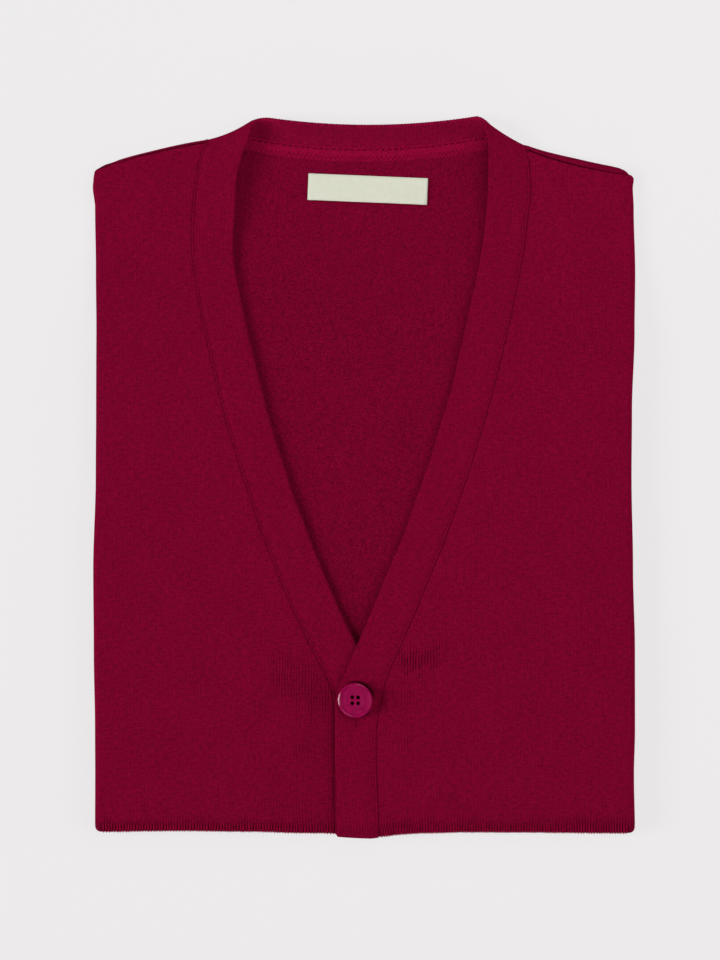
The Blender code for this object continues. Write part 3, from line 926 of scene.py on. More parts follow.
@dataclass
class StitchGroups:
    """Shader groups for the stitches of a knit and for its wool, built once."""
    drift: float = 0.9               # how far the wales wander, in wales
    drift_scale: float = 0.16
    purl_arc: float = 0.40           # how far a bump of the purl side bows, in courses
    purl_gap_shade: float = 0.46          # painted shade in the gaps between its bumps
    fleck: float = 0.54              # uneven darkness of its loops
    flecks: Pair = (3.0, 2.0)      # to a wale and to a course
    jersey_lean: float = 0.85        # how far each leg of a stitch leans, in courses
    band_lean: float = 0.5
    wale_power: float = 2.6          # how boldly the wale's crown is rounded
    crown: float = 0.72              # its height
    mid: float = 0.16                # notch along its middle, wide and deep
    leg: float = 0.28                # height of each leg on the crown
    leg_fall: float = 0.20           # less of it towards the groove
    groove_from: float = 0.48        # share of the way to the groove
    chance: float = 0.7              # how unlike each other opened wales are
    chance_least: float = -0.45
    open_from: float = 0.25          # share of a wale that opens
    open_to: float = 0.8
    open_deep: float = 0.9
    cloudy: float = 0.05             # slow waver of the dye: its scale and share
    streaks: tuple[Triple, ...] = (   # how fine across and along, and the share of each
        (0.60, 0.60, 0.24), (1.10, 0.25, 0.08), (0.25, 1.10, 0.26), (1.6, 1.6, 0.36))
    streak_rough: float = 0.6
    dye_low: float = 0.425
    dye_high: float = 0.565
    fuzz_along: float = 0.45         # loose fibres are longer along the wales

    def __post_init__(self) -> None:
        """Build both groups."""
        self.faces = {face: self.stitches(face) for face in KnitFace}
        self.wool = self.woolly()

    def purl(self, w: Wiring, across: Socket, along: Socket) -> tuple[Socket, Socket]:
        """Rows of bumps.

        Args:
            w: wiring of the group.
            across: place across the knit, in wales.
            along: place along it, in courses.

        Returns:
            Height, and how dark each place is: painted shade in the gaps and uneven darkness of
                the loops.
        """
        arc = w.math("MULTIPLY", w.math("COSINE", w.math("MULTIPLY", across, math.tau)),
                     self.purl_arc)
        turn = w.math("MULTIPLY", w.math("ADD", along, arc), math.tau)
        height = w.math("MULTIPLY_ADD", w.math("SINE", turn), 0.5, 0.5)
        half_stitch = w.vector(*(w.math("FLOOR", w.math("MULTIPLY", share, parts))
                                 for share, parts in zip((across, along), self.flecks)))
        speck = w.node("ShaderNodeTexWhiteNoise", noise_dimensions="2D")
        w.put(speck.inputs["Vector"], half_stitch)
        gap_shade = w.math("MULTIPLY_ADD", height, -self.purl_gap_shade, self.purl_gap_shade)
        return height, w.math("MULTIPLY_ADD", speck.outputs["Value"], self.fleck, gap_shade)

    def vees(self, w: Wiring, off: Socket, along: Socket, lean: float) -> tuple[Socket, Socket]:
        """Columns of vees.

        Args:
            w: wiring of the group.
            off: share of the way from a wale's middle to its groove.
            along: place along the knit, in courses.
            lean: how far each leg of a stitch leans, in courses.

        Returns:
            Height, and the groove that gets painted shade.
        """
        turn = w.math("FRACT", w.math("ADD", along, w.math("MULTIPLY", off, lean)))
        leg = w.math("SINE", w.math("MULTIPLY", turn, math.pi))
        round_off = w.math("POWER", off, self.wale_power)
        crown = w.math("MULTIPLY_ADD", round_off, -self.crown, self.crown)
        mid = w.remap(off, 0.0, self.mid, self.mid, 0.0)
        legs = w.math("MULTIPLY", w.math("MULTIPLY_ADD", round_off, -self.leg_fall, self.leg), leg)
        return (w.math("SUBTRACT", w.math("ADD", crown, legs), mid),
                w.remap(off, self.groove_from, 1.0, 0.0, 1.0))

    def stitches(self, face: KnitFace) -> Tree:
        """Group that turns a place on the knit into the relief of its stitches.

        Args:
            face: which side of the knit shows.

        Returns:
            A group with the outputs Height, and Groove for the painted shade between the stitches,
            both from 0 to 1.
        """
        group = new_group(f"{face.value} stitches", [
            ("Place", VECTOR, None), ("Wale", FLOAT, 1.4), ("Course", FLOAT, 1.0),
            ("Opened", FLOAT, 0.0)], [("Height", FLOAT), ("Groove", FLOAT)])
        w = Wiring(group)
        given, made = w.node("NodeGroupInput").outputs, w.node("NodeGroupOutput")
        x, y = w.parts(given["Place"])
        drift = w.math("MULTIPLY_ADD", w.noise(given["Place"], self.drift_scale, 2.0),
                       self.drift, -self.drift / 2)
        across = w.math("ADD", w.math("DIVIDE", x, given["Wale"]), drift)
        along = w.math("DIVIDE", y, given["Course"])
        off = w.math("ABSOLUTE", w.math("MULTIPLY_ADD", w.math("FRACT", across), 2.0, -1.0))
        if face is KnitFace.PURL:
            height, groove = self.purl(w, across, along)
        else:
            lean = self.jersey_lean if face is KnitFace.JERSEY else self.band_lean
            height, groove = self.vees(w, off, along, lean)
        chance = w.node("ShaderNodeTexWhiteNoise", noise_dimensions="1D")
        w.put(chance.inputs["W"], w.math("FLOOR", across))
        vary = w.math("MULTIPLY_ADD", chance.outputs["Value"], self.chance, self.chance_least)
        uneven = w.math("MULTIPLY_ADD", vary, given["Opened"], 1.0)
        wide = w.math("MULTIPLY", w.remap(off, self.open_from, self.open_to), uneven)
        wide = w.math("MULTIPLY", wide, given["Opened"])
        both = w.math("MAXIMUM", w.math("MULTIPLY", groove, uneven), wide, clamp=True)
        deep = w.math("MULTIPLY", wide, self.open_deep)
        w.fill(made, Height=w.math("SUBTRACT", height, deep), Groove=both)
        return group

    def woolly(self) -> Tree:
        """Group that turns a place into the uneven dye and the loose fibres of wool.

        Returns:
            A group with the outputs Melange and Fuzz, both from 0 to 1.
        """
        group = new_group("wool", [("Place", VECTOR, None), ("Fibre", FLOAT, 3.0)],
                          [("Melange", FLOAT), ("Fuzz", FLOAT)])
        w = Wiring(group)
        given, made = w.node("NodeGroupInput").outputs, w.node("NodeGroupOutput")
        place = given["Place"]
        total = w.math("MULTIPLY", w.noise(place, self.cloudy, 2.0), self.cloudy)
        for across, along, share in self.streaks:
            streak = w.noise(w.stretched(place, across, along), 1.0, 2.0, self.streak_rough)
            total = w.math("MULTIPLY_ADD", streak, share, total)
        fuzz = w.noise(w.stretched(place, 1.0, self.fuzz_along), given["Fibre"], 3.0)
        w.fill(made, Melange=w.remap(total, self.dye_low, self.dye_high), Fuzz=fuzz)
        return group


@dataclass(frozen=True)
class KnitFinish:
    """Wool knit: its stitches' size, its colours and how it takes the light."""
    name: str
    face: KnitFace
    light: Colour
    dark: Colour
    # groove is the colour of the painted shade in the grooves between the wales
    groove: Colour
    wale: float = 1.4
    course: float = 1.05
    depth: float = 0.22          # of the stitches
    fuzz: float = 0.55           # share of the depth that the loose fibres have
    groove_shade: float = 0.25           # how much painted shade the grooves between the wales get
    open_groove_shade: float = 0.9       # and where the wales are pulled apart
    roughness: float = 0.92
    sheen: float = 0.10
    sheen_spread: float = 0.45
    sheen_tint: Colour = (0.90, 0.03, 0.16)

    def material(self, groups: StitchGroups) -> Material:
        """The finish as a material.

        Args:
            groups: the shader groups for stitches and wool.

        Returns:
            A new material.
        """
        made, w, shader = new_material(self.name)
        place = w.node("ShaderNodeUVMap", uv_map=KNIT_MAP).outputs["UV"]
        opened, painted_shade = (w.node("ShaderNodeAttribute", attribute_name=title).outputs["Fac"]
                           for title in (OPENED, PAINTED_SHADE))
        stitches = w.node("ShaderNodeGroup", node_tree=groups.faces[self.face])
        w.fill(stitches, Place=place, Wale=self.wale, Course=self.course, Opened=opened)
        wool = w.node("ShaderNodeGroup", node_tree=groups.wool)
        w.put(wool.inputs["Place"], place)
        base = w.shade(wool.outputs["Melange"], self.dark, self.light)
        # Painted shade in the grooves between the wales, deeper where they are pulled apart, and
        # in the holes and gaps of seams, folds and round the button.
        groove_shade = w.math("MULTIPLY_ADD", opened, self.open_groove_shade - self.groove_shade, self.groove_shade)
        low = w.math("MAXIMUM", w.math("MULTIPLY", stitches.outputs["Groove"], groove_shade), painted_shade)
        w.bumps(shader, w.math("MULTIPLY_ADD", wool.outputs["Fuzz"], self.fuzz,
                               stitches.outputs["Height"]), self.depth * MM)
        w.fill(shader, Base_Color=w.shade(low, base, self.groove), Roughness=self.roughness,
               Specular_IOR_Level=0.0, Sheen_Weight=self.sheen,
               Sheen_Roughness=self.sheen_spread, Sheen_Tint=self.sheen_tint)
        return made


@dataclass(frozen=True)
class ThreadFinish:
    """Twisted sewing thread."""
    name: str
    light: Colour
    dark: Colour
    twist: float = 1400.0        # turns of its grain a metre
    dark_at: float = 0.35        # values of the grain that are fully dark and fully light
    light_at: float = 0.65
    depth: float = 0.05          # of the grain
    roughness: float = 0.75

    def material(self) -> Material:
        """The finish as a material.

        Returns:
            A new material.
        """
        made, w, shader = new_material(self.name)
        grain = w.noise(w.node("ShaderNodeTexCoord").outputs["Object"], self.twist, 2.0)
        tone = w.remap(grain, self.dark_at, self.light_at)
        w.bumps(shader, grain, self.depth * MM)
        w.fill(shader, Base_Color=w.shade(tone, self.dark, self.light),
               Roughness=self.roughness, Specular_IOR_Level=0.0)
        return made


@dataclass(frozen=True)
class RibbonFinish:
    """Woven ribbon of the bare label."""
    name: str = "woven label"
    light: Colour = (0.859, 0.870, 0.718)
    dark: Colour = (0.750, 0.767, 0.618)
    thread: float = 0.28         # pitch of its threads across
    beaten: float = 0.8          # of that pitch along the ribbon
    shift: float = 0.25          # of each row beside the one before, as in satin
    weave: float = 0.6           # shares of the weave and of the cloudy dye in its tone
    cloud: float = 0.5
    cloud_scale: float = 0.35
    dark_at: float = 0.1         # tones that are fully dark and fully light
    light_at: float = 0.75
    depth: float = 0.08          # of the weave
    roughness: float = 0.6
    sheen: float = 0.15

    def material(self) -> Material:
        """The finish as a material.

        Returns:
            A new material.
        """
        made, w, shader = new_material(self.name)
        place = w.node("ShaderNodeUVMap", uv_map=KNIT_MAP).outputs["UV"]
        x, y = w.parts(place)
        across = w.math("DIVIDE", x, self.thread)
        along = w.math("DIVIDE", y, self.thread * self.beaten)
        shifted = w.math("MULTIPLY_ADD", w.math("FLOOR", along), self.shift, across)
        warp, weft = (w.math("SINE", w.math("MULTIPLY", w.math("FRACT", way), math.pi))
                      for way in (shifted, along))
        weave = w.math("MULTIPLY", warp, weft)
        cloudy = w.math("MULTIPLY", w.noise(place, self.cloud_scale, 3.0), self.cloud)
        tone = w.remap(w.math("ADD", w.math("MULTIPLY", weave, self.weave), cloudy),
                       self.dark_at, self.light_at)
        w.bumps(shader, weave, self.depth * MM)
        w.fill(shader, Base_Color=w.shade(tone, self.dark, self.light),
               Roughness=self.roughness, Sheen_Weight=self.sheen)
        return made


@dataclass(frozen=True)
class GlossFinish:
    """Polished resin of the button, slightly cloudy."""
    name: str = "polished button"
    light: Colour = (0.325, 0.0026, 0.068)
    dark: Colour = (0.255, 0.0021, 0.054)
    centre: Point = (-0.0047, -0.1238, 0.0)
    rim_from: float = 0.0084     # the rim is polished, the middle is worn to satin
    rim_to: float = 0.0091
    cloud_scale: float = 260.0
    dark_at: float = 0.3         # values of the cloud that are fully dark and fully light
    light_at: float = 0.7
    wear_scale: float = 2200.0
    wear: float = 0.10           # how uneven the satin is
    depth: float = 0.01          # of its scratches
    satin: float = 0.42          # roughness of the middle
    polish: float = 0.30         # how much smoother the rim is
    specular: float = 0.06
    coat: float = 0.5
    coat_roughness: float = 0.10

    def material(self) -> Material:
        """The finish as a material.

        Returns:
            A new material.
        """
        made, w, shader = new_material(self.name)
        place = w.node("ShaderNodeTexCoord").outputs["Object"]
        cloud, wear = w.noise(place, self.cloud_scale, 3.0), w.noise(place, self.wear_scale, 4.0)
        flat = w.node("ShaderNodeMapping", vector_type="TEXTURE")
        w.fill(flat, Vector=place, Location=self.centre)
        squares = w.math("ADD", *(w.math("POWER", part, 2.0) for part in w.parts(flat.outputs[0])))
        rim = w.remap(w.math("SQRT", squares), self.rim_from, self.rim_to)
        satin = w.math("MULTIPLY_ADD", wear, self.wear, self.satin)
        tone = w.remap(cloud, self.dark_at, self.light_at)
        w.bumps(shader, wear, self.depth * MM)
        w.fill(shader, Base_Color=w.shade(tone, self.dark, self.light),
               Roughness=w.math("MULTIPLY_ADD", rim, -self.polish, satin),
               Specular_IOR_Level=self.specular,
               Coat_Weight=w.math("MULTIPLY", rim, self.coat),
               Coat_Roughness=self.coat_roughness)
        return made


CRIMSON_FACE = KnitFinish(
    name="crimson jersey", face=KnitFace.JERSEY, wale=1.62, groove_shade=0.13, depth=0.17,
    light=(0.247, 0.0026, 0.0314), dark=(0.150, 0.0016, 0.0191), groove=(0.066, 0.0007, 0.0085))
CRIMSON_INSIDE = KnitFinish(
    name="crimson inside", face=KnitFace.PURL, wale=1.48, course=1.17, depth=0.10, groove_shade=0.95,
    light=(0.335, 0.0036, 0.0428), dark=(0.255, 0.0027, 0.0324), groove=(0.050, 0.0006, 0.007))
CRIMSON_BAND = KnitFinish(
    name="crimson band", face=KnitFace.BAND, wale=1.5, course=1.1, depth=0.20, groove_shade=0.158,
    light=(0.249, 0.0026, 0.0315), dark=(0.153, 0.0016, 0.0195), groove=(0.030, 0.0003, 0.004))
# Neck band: a copy of the band's knit painted lighter, since it leans away from the lamps.
CRIMSON_NECK_PAINTED_LIGHTER = KnitFinish(
    name="crimson neck band painted lighter", face=KnitFace.BAND, wale=1.17, course=1.17, depth=0.24, groove_shade=0.30,
    light=(0.300, 0.0036, 0.0410), dark=(0.184, 0.0022, 0.0253), groove=(0.085, 0.0009, 0.011))
# Wales round the bottom fold: a copy of the jersey painted lighter, without groove shade.
CRIMSON_RIB_PAINTED_LIGHTER = KnitFinish(
    name="crimson wale painted lighter", face=KnitFace.JERSEY, groove_shade=0.0, depth=0.15,
    light=(0.290, 0.0031, 0.0367), dark=(0.200, 0.0021, 0.0254), groove=(0.110, 0.0012, 0.014))
CRIMSON_TAPE = KnitFinish(
    name="crimson tape", face=KnitFace.BAND, wale=1.2, course=1.0, depth=0.18, groove_shade=0.25,
    light=(0.335, 0.0035, 0.0427), dark=(0.235, 0.0025, 0.0299), groove=(0.070, 0.0008, 0.010),
    sheen=0.15)
SEAM_THREAD = ThreadFinish("seam thread", (0.330, 0.0036, 0.043), (0.220, 0.0023, 0.028))
# Neck seam's thread: a copy of the seam thread painted lighter.
NECK_THREAD_PAINTED_LIGHTER = ThreadFinish("neck thread painted lighter", (0.440, 0.0048, 0.057), (0.320, 0.0034, 0.041))


# ================================================================ a piece of the vest

@dataclass
class Dress:
    """What a finished piece carries: its slot, its CAD nodes and its cut; only its CAD nodes are
    used, and these are hidden.
    """
    slot: Slot
    replaces: Sequence[str] = ()
    flat: Pair | None = None     # metres, before sewing
    area: float | None = None
    held: str = "folded"
    rests_on: Sequence[str] = ()

    def put_on(self, obj: Object, material: Material) -> None:
        """Args:
            obj: the finished piece.
            material: its finish.
        """
        obj.data.materials.clear()
        obj.data.materials.append(material)
        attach(obj, BODY)
        if self.replaces:
            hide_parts(*self.replaces)
        log.info("%s: %d faces", obj.name, len(obj.data.polygons))


class Piece:
    """A piece of the vest that is shaped first and then dressed."""

    def shape(self) -> tuple[Object, Dress]:
        """Shape the piece, and say what it tells the frame."""
        raise NotImplementedError

    def build(self, material: Material) -> Object:
        """Shape and dress the piece.

        Args:
            material: its finish.

        Returns:
            The finished piece.
        """
        obj, dress = self.shape()
        dress.put_on(obj, material)
        return obj


# ================================================================ fronts

@dataclass
class Front(Piece):
    """One front: over the pile, round its side fold and round the bottom fold."""
    half: Half
    relief: Relief
    wale_material: Material          # of the wales round its bottom fold: a copy of the jersey painted lighter
    rib_pitch: float
    pile: Pile = PILE
    thick: float = 1.1
    straight_from: float = -145.0
    bow_fade: float = 6.0
    rows: int = 210
    flat_columns: int = 46
    column_power: float = 1.15       # columns are closer beside the seam
    tuck_columns: int = 3
    roll_steps: int = 14
    bend_steps: int = 12
    bottom_tuck: float = 3.0
    underside_rows: int = 34
    fold_gap_shade: float = 0.75           # painted shade in the gaps between the wales round the fold
    gap_start: float = 2.2           # rows over which that painted shade comes in
    gap_end: float = 4.0             # and fades out again
    opened_below: float = 0.3        # how much the wales open on the underside
    hem_from_y: float = -146.0       # where the cloth begins to follow the bottom fold's waver
    hem_run: float = 48.0
    under_foot: float = 3.6          # how far the under front reaches below the placket
    foot_from_y: float = -178.0
    foot_run: float = 8.0
    corner_round: float = 1.8        # how far the outer top corner is rounded down
    corner_run: float = 14.0
    lie_side: float = 9.0            # the relief fades beside the side fold,
    lie_seam: float = 5.0            # the seam
    lie_clear: float = 2.0           # and so far above the bottom fold
    lie_foot: float = 14.0
    cut: Pair = (0.158, 0.400)       # flat size and area, in metres
    cut_area: float = 0.0560

    def grid(self, depth: float) -> tuple[Array, Array, Array]:
        """Points of the front at one depth under its outside.

        Args:
            depth: how far under the outside, in millimetres.

        Returns:
            The points, their places on the knit, and how far the wales are opened.
        """
        half, pile, sign = self.half, self.pile, self.half.sign
        stations = splined(half.stations, np.linspace(0, len(half.stations) - 1, self.rows + 1))
        top_y, foot = half.stations[0].seam_y, half.stations[-1]
        seam_end = half.bottom_y + pile.front(half, foot.seam_x, half.bottom_y) / 2
        side_end = half.bottom_y + pile.front(half, sign * pile.side_from, half.bottom_y) / 2
        seam_x, seam_y = stations[:, 0] + sign * pile.seam_gap, stations[:, 1].copy()
        if not half.is_over:
            seam_x = seam_x + self.under_foot * ease((self.foot_from_y - seam_y) / self.foot_run)
        down = (top_y - seam_y) / (top_y - foot.seam_y)
        low = (self.straight_from - seam_y) / (self.straight_from - foot.seam_y)
        seam_y = np.where(low > 0, mix(self.straight_from, seam_end, low), seam_y)
        fold_y = mix(half.corner_y, side_end, down)
        fold_x = sign * half.fold_x(fold_y)
        centre = fold_x - sign * pile.side_roll
        shelf = centre - sign * pile.side_tuck

        near = np.linspace(0.0, 1.0, self.flat_columns) ** self.column_power
        flat_x = np.concatenate([mix(seam_x[:, None], shelf[:, None], near),
                                 mix(shelf[:, None], centre[:, None],
                                     np.linspace(0, 1, self.tuck_columns + 1)[1:])], 1)
        out = (flat_x - seam_x[:, None]) / (centre - seam_x)[:, None]
        bow = half.bow * (1.0 - ease(down * self.bow_fade))
        flat_y = mix(seam_y[:, None], fold_y[:, None], out) + 4 * bow[:, None] * out * (1 - out)
        angles = np.radians(np.linspace(90.0, -90.0, self.roll_steps + 1)[1:])
        reach = pile.side_roll - depth
        turn = sign * pile.side_roll * (math.pi / 2 - angles)
        roll_x = centre[:, None] + sign * reach * np.cos(angles)
        tuck = sign * np.linspace(0, pile.side_tuck, self.tuck_columns + 1)[1:]
        tuck_x = centre[:, None] - tuck
        x = np.concatenate([flat_x, roll_x, tuck_x], 1)
        beyond = x.shape[1] - flat_x.shape[1]
        rounded = self.corner_round * ease(1.0 - (fold_y[0] - fold_y) / self.corner_run)
        bow_down = np.concatenate([1.0 - np.sin(angles), np.full(self.tuck_columns, 2.0)])
        y = np.concatenate([flat_y, fold_y[:, None] - rounded[:, None] * bow_down], 1)
        over_x = np.concatenate([flat_x, np.repeat(centre[:, None], beyond, 1)], 1)
        y = y + half.hem_up(over_x) * ease((self.hem_from_y - y) / self.hem_run)
        drop = np.concatenate([np.full(flat_x.shape, depth),
                               np.tile(pile.side_roll - reach * np.sin(angles), (len(x), 1)),
                               np.full(tuck_x.shape, 2 * pile.side_roll - depth)], 1)
        across = np.concatenate([flat_x, centre[:, None] + turn,
                                 centre[:, None] + turn[-1] + tuck], 1)

        lie = (self.relief.height(x, y)
               * ease((np.abs(centre[:, None]) - np.abs(x)) / self.lie_side)
               * ease((y - side_end - self.lie_clear) / self.lie_foot)
               * ease((np.abs(x - seam_x[:, None])) / self.lie_seam))
        z = pile.front(half, over_x, y) - drop + lie
        tops = pile.front(half, over_x[-1], y[-1])
        points, knit = [*np.stack([x, y, z], 2)], [*np.stack([across, y], 2)]
        points += round_fold(np.stack([x[-1], y[-1], tops], 1), drop[-1], self.bend_steps)
        knit += [np.stack([across[-1], y[-1] - angle * tops / 2], 1)
                 for angle in np.linspace(0, math.pi, self.bend_steps + 1)[1:]]
        high = pile.hem_y - side_end - self.bottom_tuck
        for up in self.bottom_tuck + np.linspace(0.0, 1.0, self.underside_rows) * high:
            shift = sign * (half.fold_x(y[-1] + up) - abs(fold_x[-1]))
            points.append(np.stack([x[-1] + shift, y[-1] + up, drop[-1]], 1))
            knit.append(np.stack([across[-1], y[-1] - math.pi * tops / 2 - up], 1))
        grid, places = np.array(points), np.array(knit)
        opened = OPENED_WALES.share(places[..., 0], grid[..., 1])
        opened[self.rows + self.bend_steps // 2:] *= self.opened_below
        return grid, places, opened

    def shape(self) -> tuple[Object, Dress]:
        """Shape the front, once the wales round its bottom fold are built.

        Returns:
            The front's mesh, and what it tells the frame.
        """
        outer, knit, opened = self.grid(0.0)
        inner, _, _ = self.grid(self.thick)
        rows, cols = outer.shape[:2]
        keep = np.ones((rows - 1, cols - 1), bool)
        keep[self.rows + self.bend_steps + 1:, :self.flat_columns - 1] = False
        name = f"front_{self.half.side.name.lower()}"
        first, last = self.rows, self.rows + self.bend_steps
        flat = outer[first:last, :self.flat_columns + self.tuck_columns]
        flat = flat[:, ::self.half.sign]
        FoldRibs(f"{name}_wales", flat, self.rib_pitch).build(self.wale_material)
        row = np.arange(rows)[:, None] + np.zeros((1, cols))
        # Painted shade on the cloth between the wales round the fold.
        gap_shade = self.fold_gap_shade * (ease((row - first) / self.gap_start)
                                * ease((last - row) / self.gap_end))
        gap_shade[:, flat.shape[1]:] = 0.0
        obj = Cloth(outer, inner, knit, keep, opened, gap_shade).to_object(f"{name}_cloth")
        return obj, Dress(Slot.JERSEY, [name], flat=self.cut, area=self.cut_area,
                          rests_on=["back_cloth"])


@dataclass
class FoldRibs(Piece):
    """Wales that stand apart where the cloth turns round the bottom fold."""
    name: str
    paths: Array                     # rows of the cloth's outside, down the fold
    pitch: float
    radius: float = 0.50
    sides: int = 6
    proud: float = 0.55              # share of the radius that stands out of the cloth
    seat: float = 0.25               # share of it that the path itself is lowered by
    start: float = 0.20              # share of the path on which a wale rises
    end: float = 0.30                # and on which it sinks again, below the fold
    wander: float = 0.12             # of each wale beside its place
    rises: Pair = (0.6, 1.3)
    sizes: Pair = (0.85, 1.1)
    seed: int = 11

    def shape(self) -> tuple[Object, Dress]:
        """Sweep each wale along the fold.

        Returns:
            The mesh of all the wales, and what it tells the frame.
        """
        chance = np.random.default_rng(self.seed)
        places = self.paths[..., 0]
        low, high = places[:, 0].max() + self.pitch, places[:, -1].min() - self.pitch
        at = np.arange(low, high, self.pitch)
        at = at + chance.uniform(-self.wander, self.wander, len(at))
        lines = np.array([[np.interp(at, row_places, row[:, k]) for k in range(3)]
                          for row_places, row in zip(places, self.paths)])
        lines = lines.transpose(2, 0, 1)                  # wale, row, xyz
        share = np.linspace(0.0, 1.0, lines.shape[1])[None, :]
        rise = self.start * chance.uniform(*self.rises, (len(at), 1))
        size = ease(share / rise) * ease((1.0 - share) / self.end)
        size = self.radius * size * chance.uniform(*self.sizes, (len(at), 1))
        ahead = np.gradient(lines, axis=1)
        ahead /= np.linalg.norm(ahead, axis=2, keepdims=True)
        aside = np.array((1.0, 0.0, 0.0)) - ahead * ahead[..., :1]
        aside /= np.linalg.norm(aside, axis=2, keepdims=True)
        out = np.cross(aside, ahead)
        out = out * np.where(out[:, :1, 2:] < 0.0, -1.0, 1.0)
        turn = np.arange(self.sides) * math.tau / self.sides
        centre = lines + out * (size * self.proud - self.radius * self.seat)[..., None]
        ring = (centre[:, :, None]
                + size[..., None, None] * (np.cos(turn)[:, None] * aside[:, :, None]
                                           + np.sin(turn)[:, None] * out[:, :, None]))
        wales, rows = ring.shape[:2]
        first = (np.arange(wales)[:, None, None] * rows * self.sides
                 + np.arange(rows - 1)[None, :, None] * self.sides)
        side, after = np.arange(self.sides), np.roll(np.arange(self.sides), -1)
        quads = np.stack([first + side, first + after, first + after + self.sides,
                          first + side + self.sides], 3).reshape(-1, 4)
        points = ring.reshape(-1, 3)
        return mesh_object(self.name, points, quads, points[:, :2]), Dress(Slot.JERSEY)


# ================================================================ bands

@dataclass
class FrontBand(Piece):
    """A doubled front band, from its turn over the shoulder to its lower end."""
    half: Half
    turns_under: bool                # or ends under the placket
    ridge_bow: float = 1.5           # how far the shoulder's ridge hollows in
    curl_at_seam: float = 0.85       # share of the turn's size that is left at the seam
    relief: Relief = BAND_RELIEF
    pile: Pile = PILE
    wide: float = 23.0
    cut_wide: float = 0.024          # flat width, in metres
    near: tuple[float, ...] = (0.0, 0.008, 0.02, 0.045)     # shares across, beside both edges
    mid_from: float = 0.09           # share from which the columns are even
    mid_columns: int = 21
    rim: float = 0.35                # how far its rim rounds out, in thicknesses
    edge_round: float = 1.1
    seam_round: float = 0.55
    crown: float = 0.22
    over_rise: float = 0.5
    over_from_y: float = -60.0
    over_fade: float = 25.0
    collar_lift: float = 6.8
    collar_from_y: float = 105.0
    collar_run: float = 92.0
    collar_bend: float = 1.6
    curl: float = 2.8
    curl_wall: float = 2.0
    curl_round: float = 0.9
    curl_back: float = 4.6
    curl_end: float = 1.8            # height at which the turned end stops
    curl_angles: tuple[float, float, int] = (90.0, 12.0, 8)
    rows: int = 1000
    bend_steps: int = 12
    bottom_tuck: float = 3.0
    wave: float = 0.22               # waver of its free edge
    wave_pitch: float = 9.0
    wave_bends: Bends = ((2.0, 31.0),)
    wave_power: int = 3              # how quickly it dies away towards the seam
    scallop: float = 0.13            # loops of knit along the free edge
    scallop_pitch: float = 1.9
    scallop_power: int = 16
    lie_from_y: float = -170.0       # the relief fades above the bottom fold
    lie_run: float = 30.0
    ridge_fade: float = 15.0
    flush: float = 0.25              # how much of its height is left at the seam
    flush_run: float = 0.22
    # painted shade in the needle holes along the seam
    seam_dots: float = 0.30
    seam_bends: Bends = ((1.7, 5.1), (1.3, 11.3))
    seam_power: float = 1.5          # how sharply the dots stand out
    seam_wide: float = 0.6
    seam_gap_shade: float = 0.66
    hole_x: float = -4.4             # the buttonhole, which the button hides but for its end, drawn as painted shade
    hole_top: float = -128.0
    hole_foot: float = -139.8
    hole_top_run: float = 1.0        # over which it darkens at each end
    hole_foot_run: float = 1.5
    hole_half: float = 1.1
    hole_sway: float = 0.35          # of its edges, and how often they sway
    hole_sways: float = 2.9
    hole_shade: float = 0.62
    hole_loops: float = 0.35         # share of its painted shade that goes by turns, and how often
    hole_loop_turns: float = 3.6
    open_from_y: float = -191.5      # below here its wales stand apart
    open_run: float = 5.0
    open_most: float = 0.45
    button: Triple = (-4.7, -123.8, 9.8)     # middle and radius
    button_shadows: tuple[Triple, ...] = (           # painted shadows round the button's rim:
        (62.0, 1.15, 1.0), (252.0, 0.9, 0.5))                    # way, width, darkness
    button_shadow_from: float = 0.35         # cosine at which a painted shadow begins, and its run
    button_shadow_run: float = 0.5

    def section(self) -> tuple[Array, Array]:
        """Section across the band.

        Returns:
            Shares across, and how far the face falls at each.
        """
        near = np.array(self.near)
        middle = np.linspace(self.mid_from, 1.0 - self.mid_from, self.mid_columns)
        across = merged(near, middle, 1.0 - near)
        from_edge = np.minimum(across, 1.0 - across) * self.wide
        radius = np.where(across < 0.5, self.seam_round, self.edge_round)
        inside = np.clip(radius - from_edge, 0.0, radius)
        fall = radius - np.sqrt(radius**2 - inside**2)
        return across, fall + self.crown * (2.0 * across - 1.0) ** 2

    def ridge_out(self) -> Array:
        """Way off the shoulder's ridge.

        Returns:
            Unit vector in plan that points away from the vest.
        """
        ridge = self.half.stations[0]
        out = np.array((ridge.seam_y - ridge.edge_y, ridge.edge_x - ridge.seam_x, 0.0))
        return out / np.linalg.norm(out) * (1.0 if out[1] > 0 else -1.0)

    def faces(self, stations: Array) -> Array:
        """Points of the band's face, before its edges fall away.

        Args:
            stations: places of its seam and free edge, down the band.

        Returns:
            One row of points for each station.
        """
        across, _ = self.section()
        share = mix(self.pile.seam_gap / self.wide, 1.0, across)[None, :]
        seam, edge = stations[:, None, :2], stations[:, None, 2:]
        place = mix(seam, edge, share[..., None])
        x, y = place[..., 0], place[..., 1]
        along = arc_lengths(stations[:, 2:])[:, None]
        slow = np.sin(bent(y / self.wave_pitch, y, self.wave_bends))
        waver = (self.wave * slow * share**self.wave_power
                 + self.scallop * np.sin(along * math.tau / self.scallop_pitch)
                 * share**self.scallop_power)
        lift = (self.collar_lift * ease((stations[:, None, 3] - self.collar_from_y)
                                        / self.collar_run) * share**self.collar_bend)
        over = self.over_rise * ease((self.over_from_y - y) / self.over_fade)
        proud = self.pile.band_proud + (over if self.half.is_over else 0.0)
        flush = mix(self.flush, 1.0, ease(share / self.flush_run))
        lie = self.relief.height(x, y) * ease((y - self.lie_from_y) / self.lie_run)
        z = self.pile.front(self.half, x, y) + proud * flush + lift + lie
        from_ridge = np.hypot(*(stations[:, :2] - np.array(self.half.stations[0][:2])).T)
        hollow = (self.ridge_bow * ease(1.0 - from_ridge / self.ridge_fade)[:, None]
                  * 4.0 * share * (1.0 - share))
        return np.stack([x + waver, y, z], 2) - hollow[..., None] * self.ridge_out()

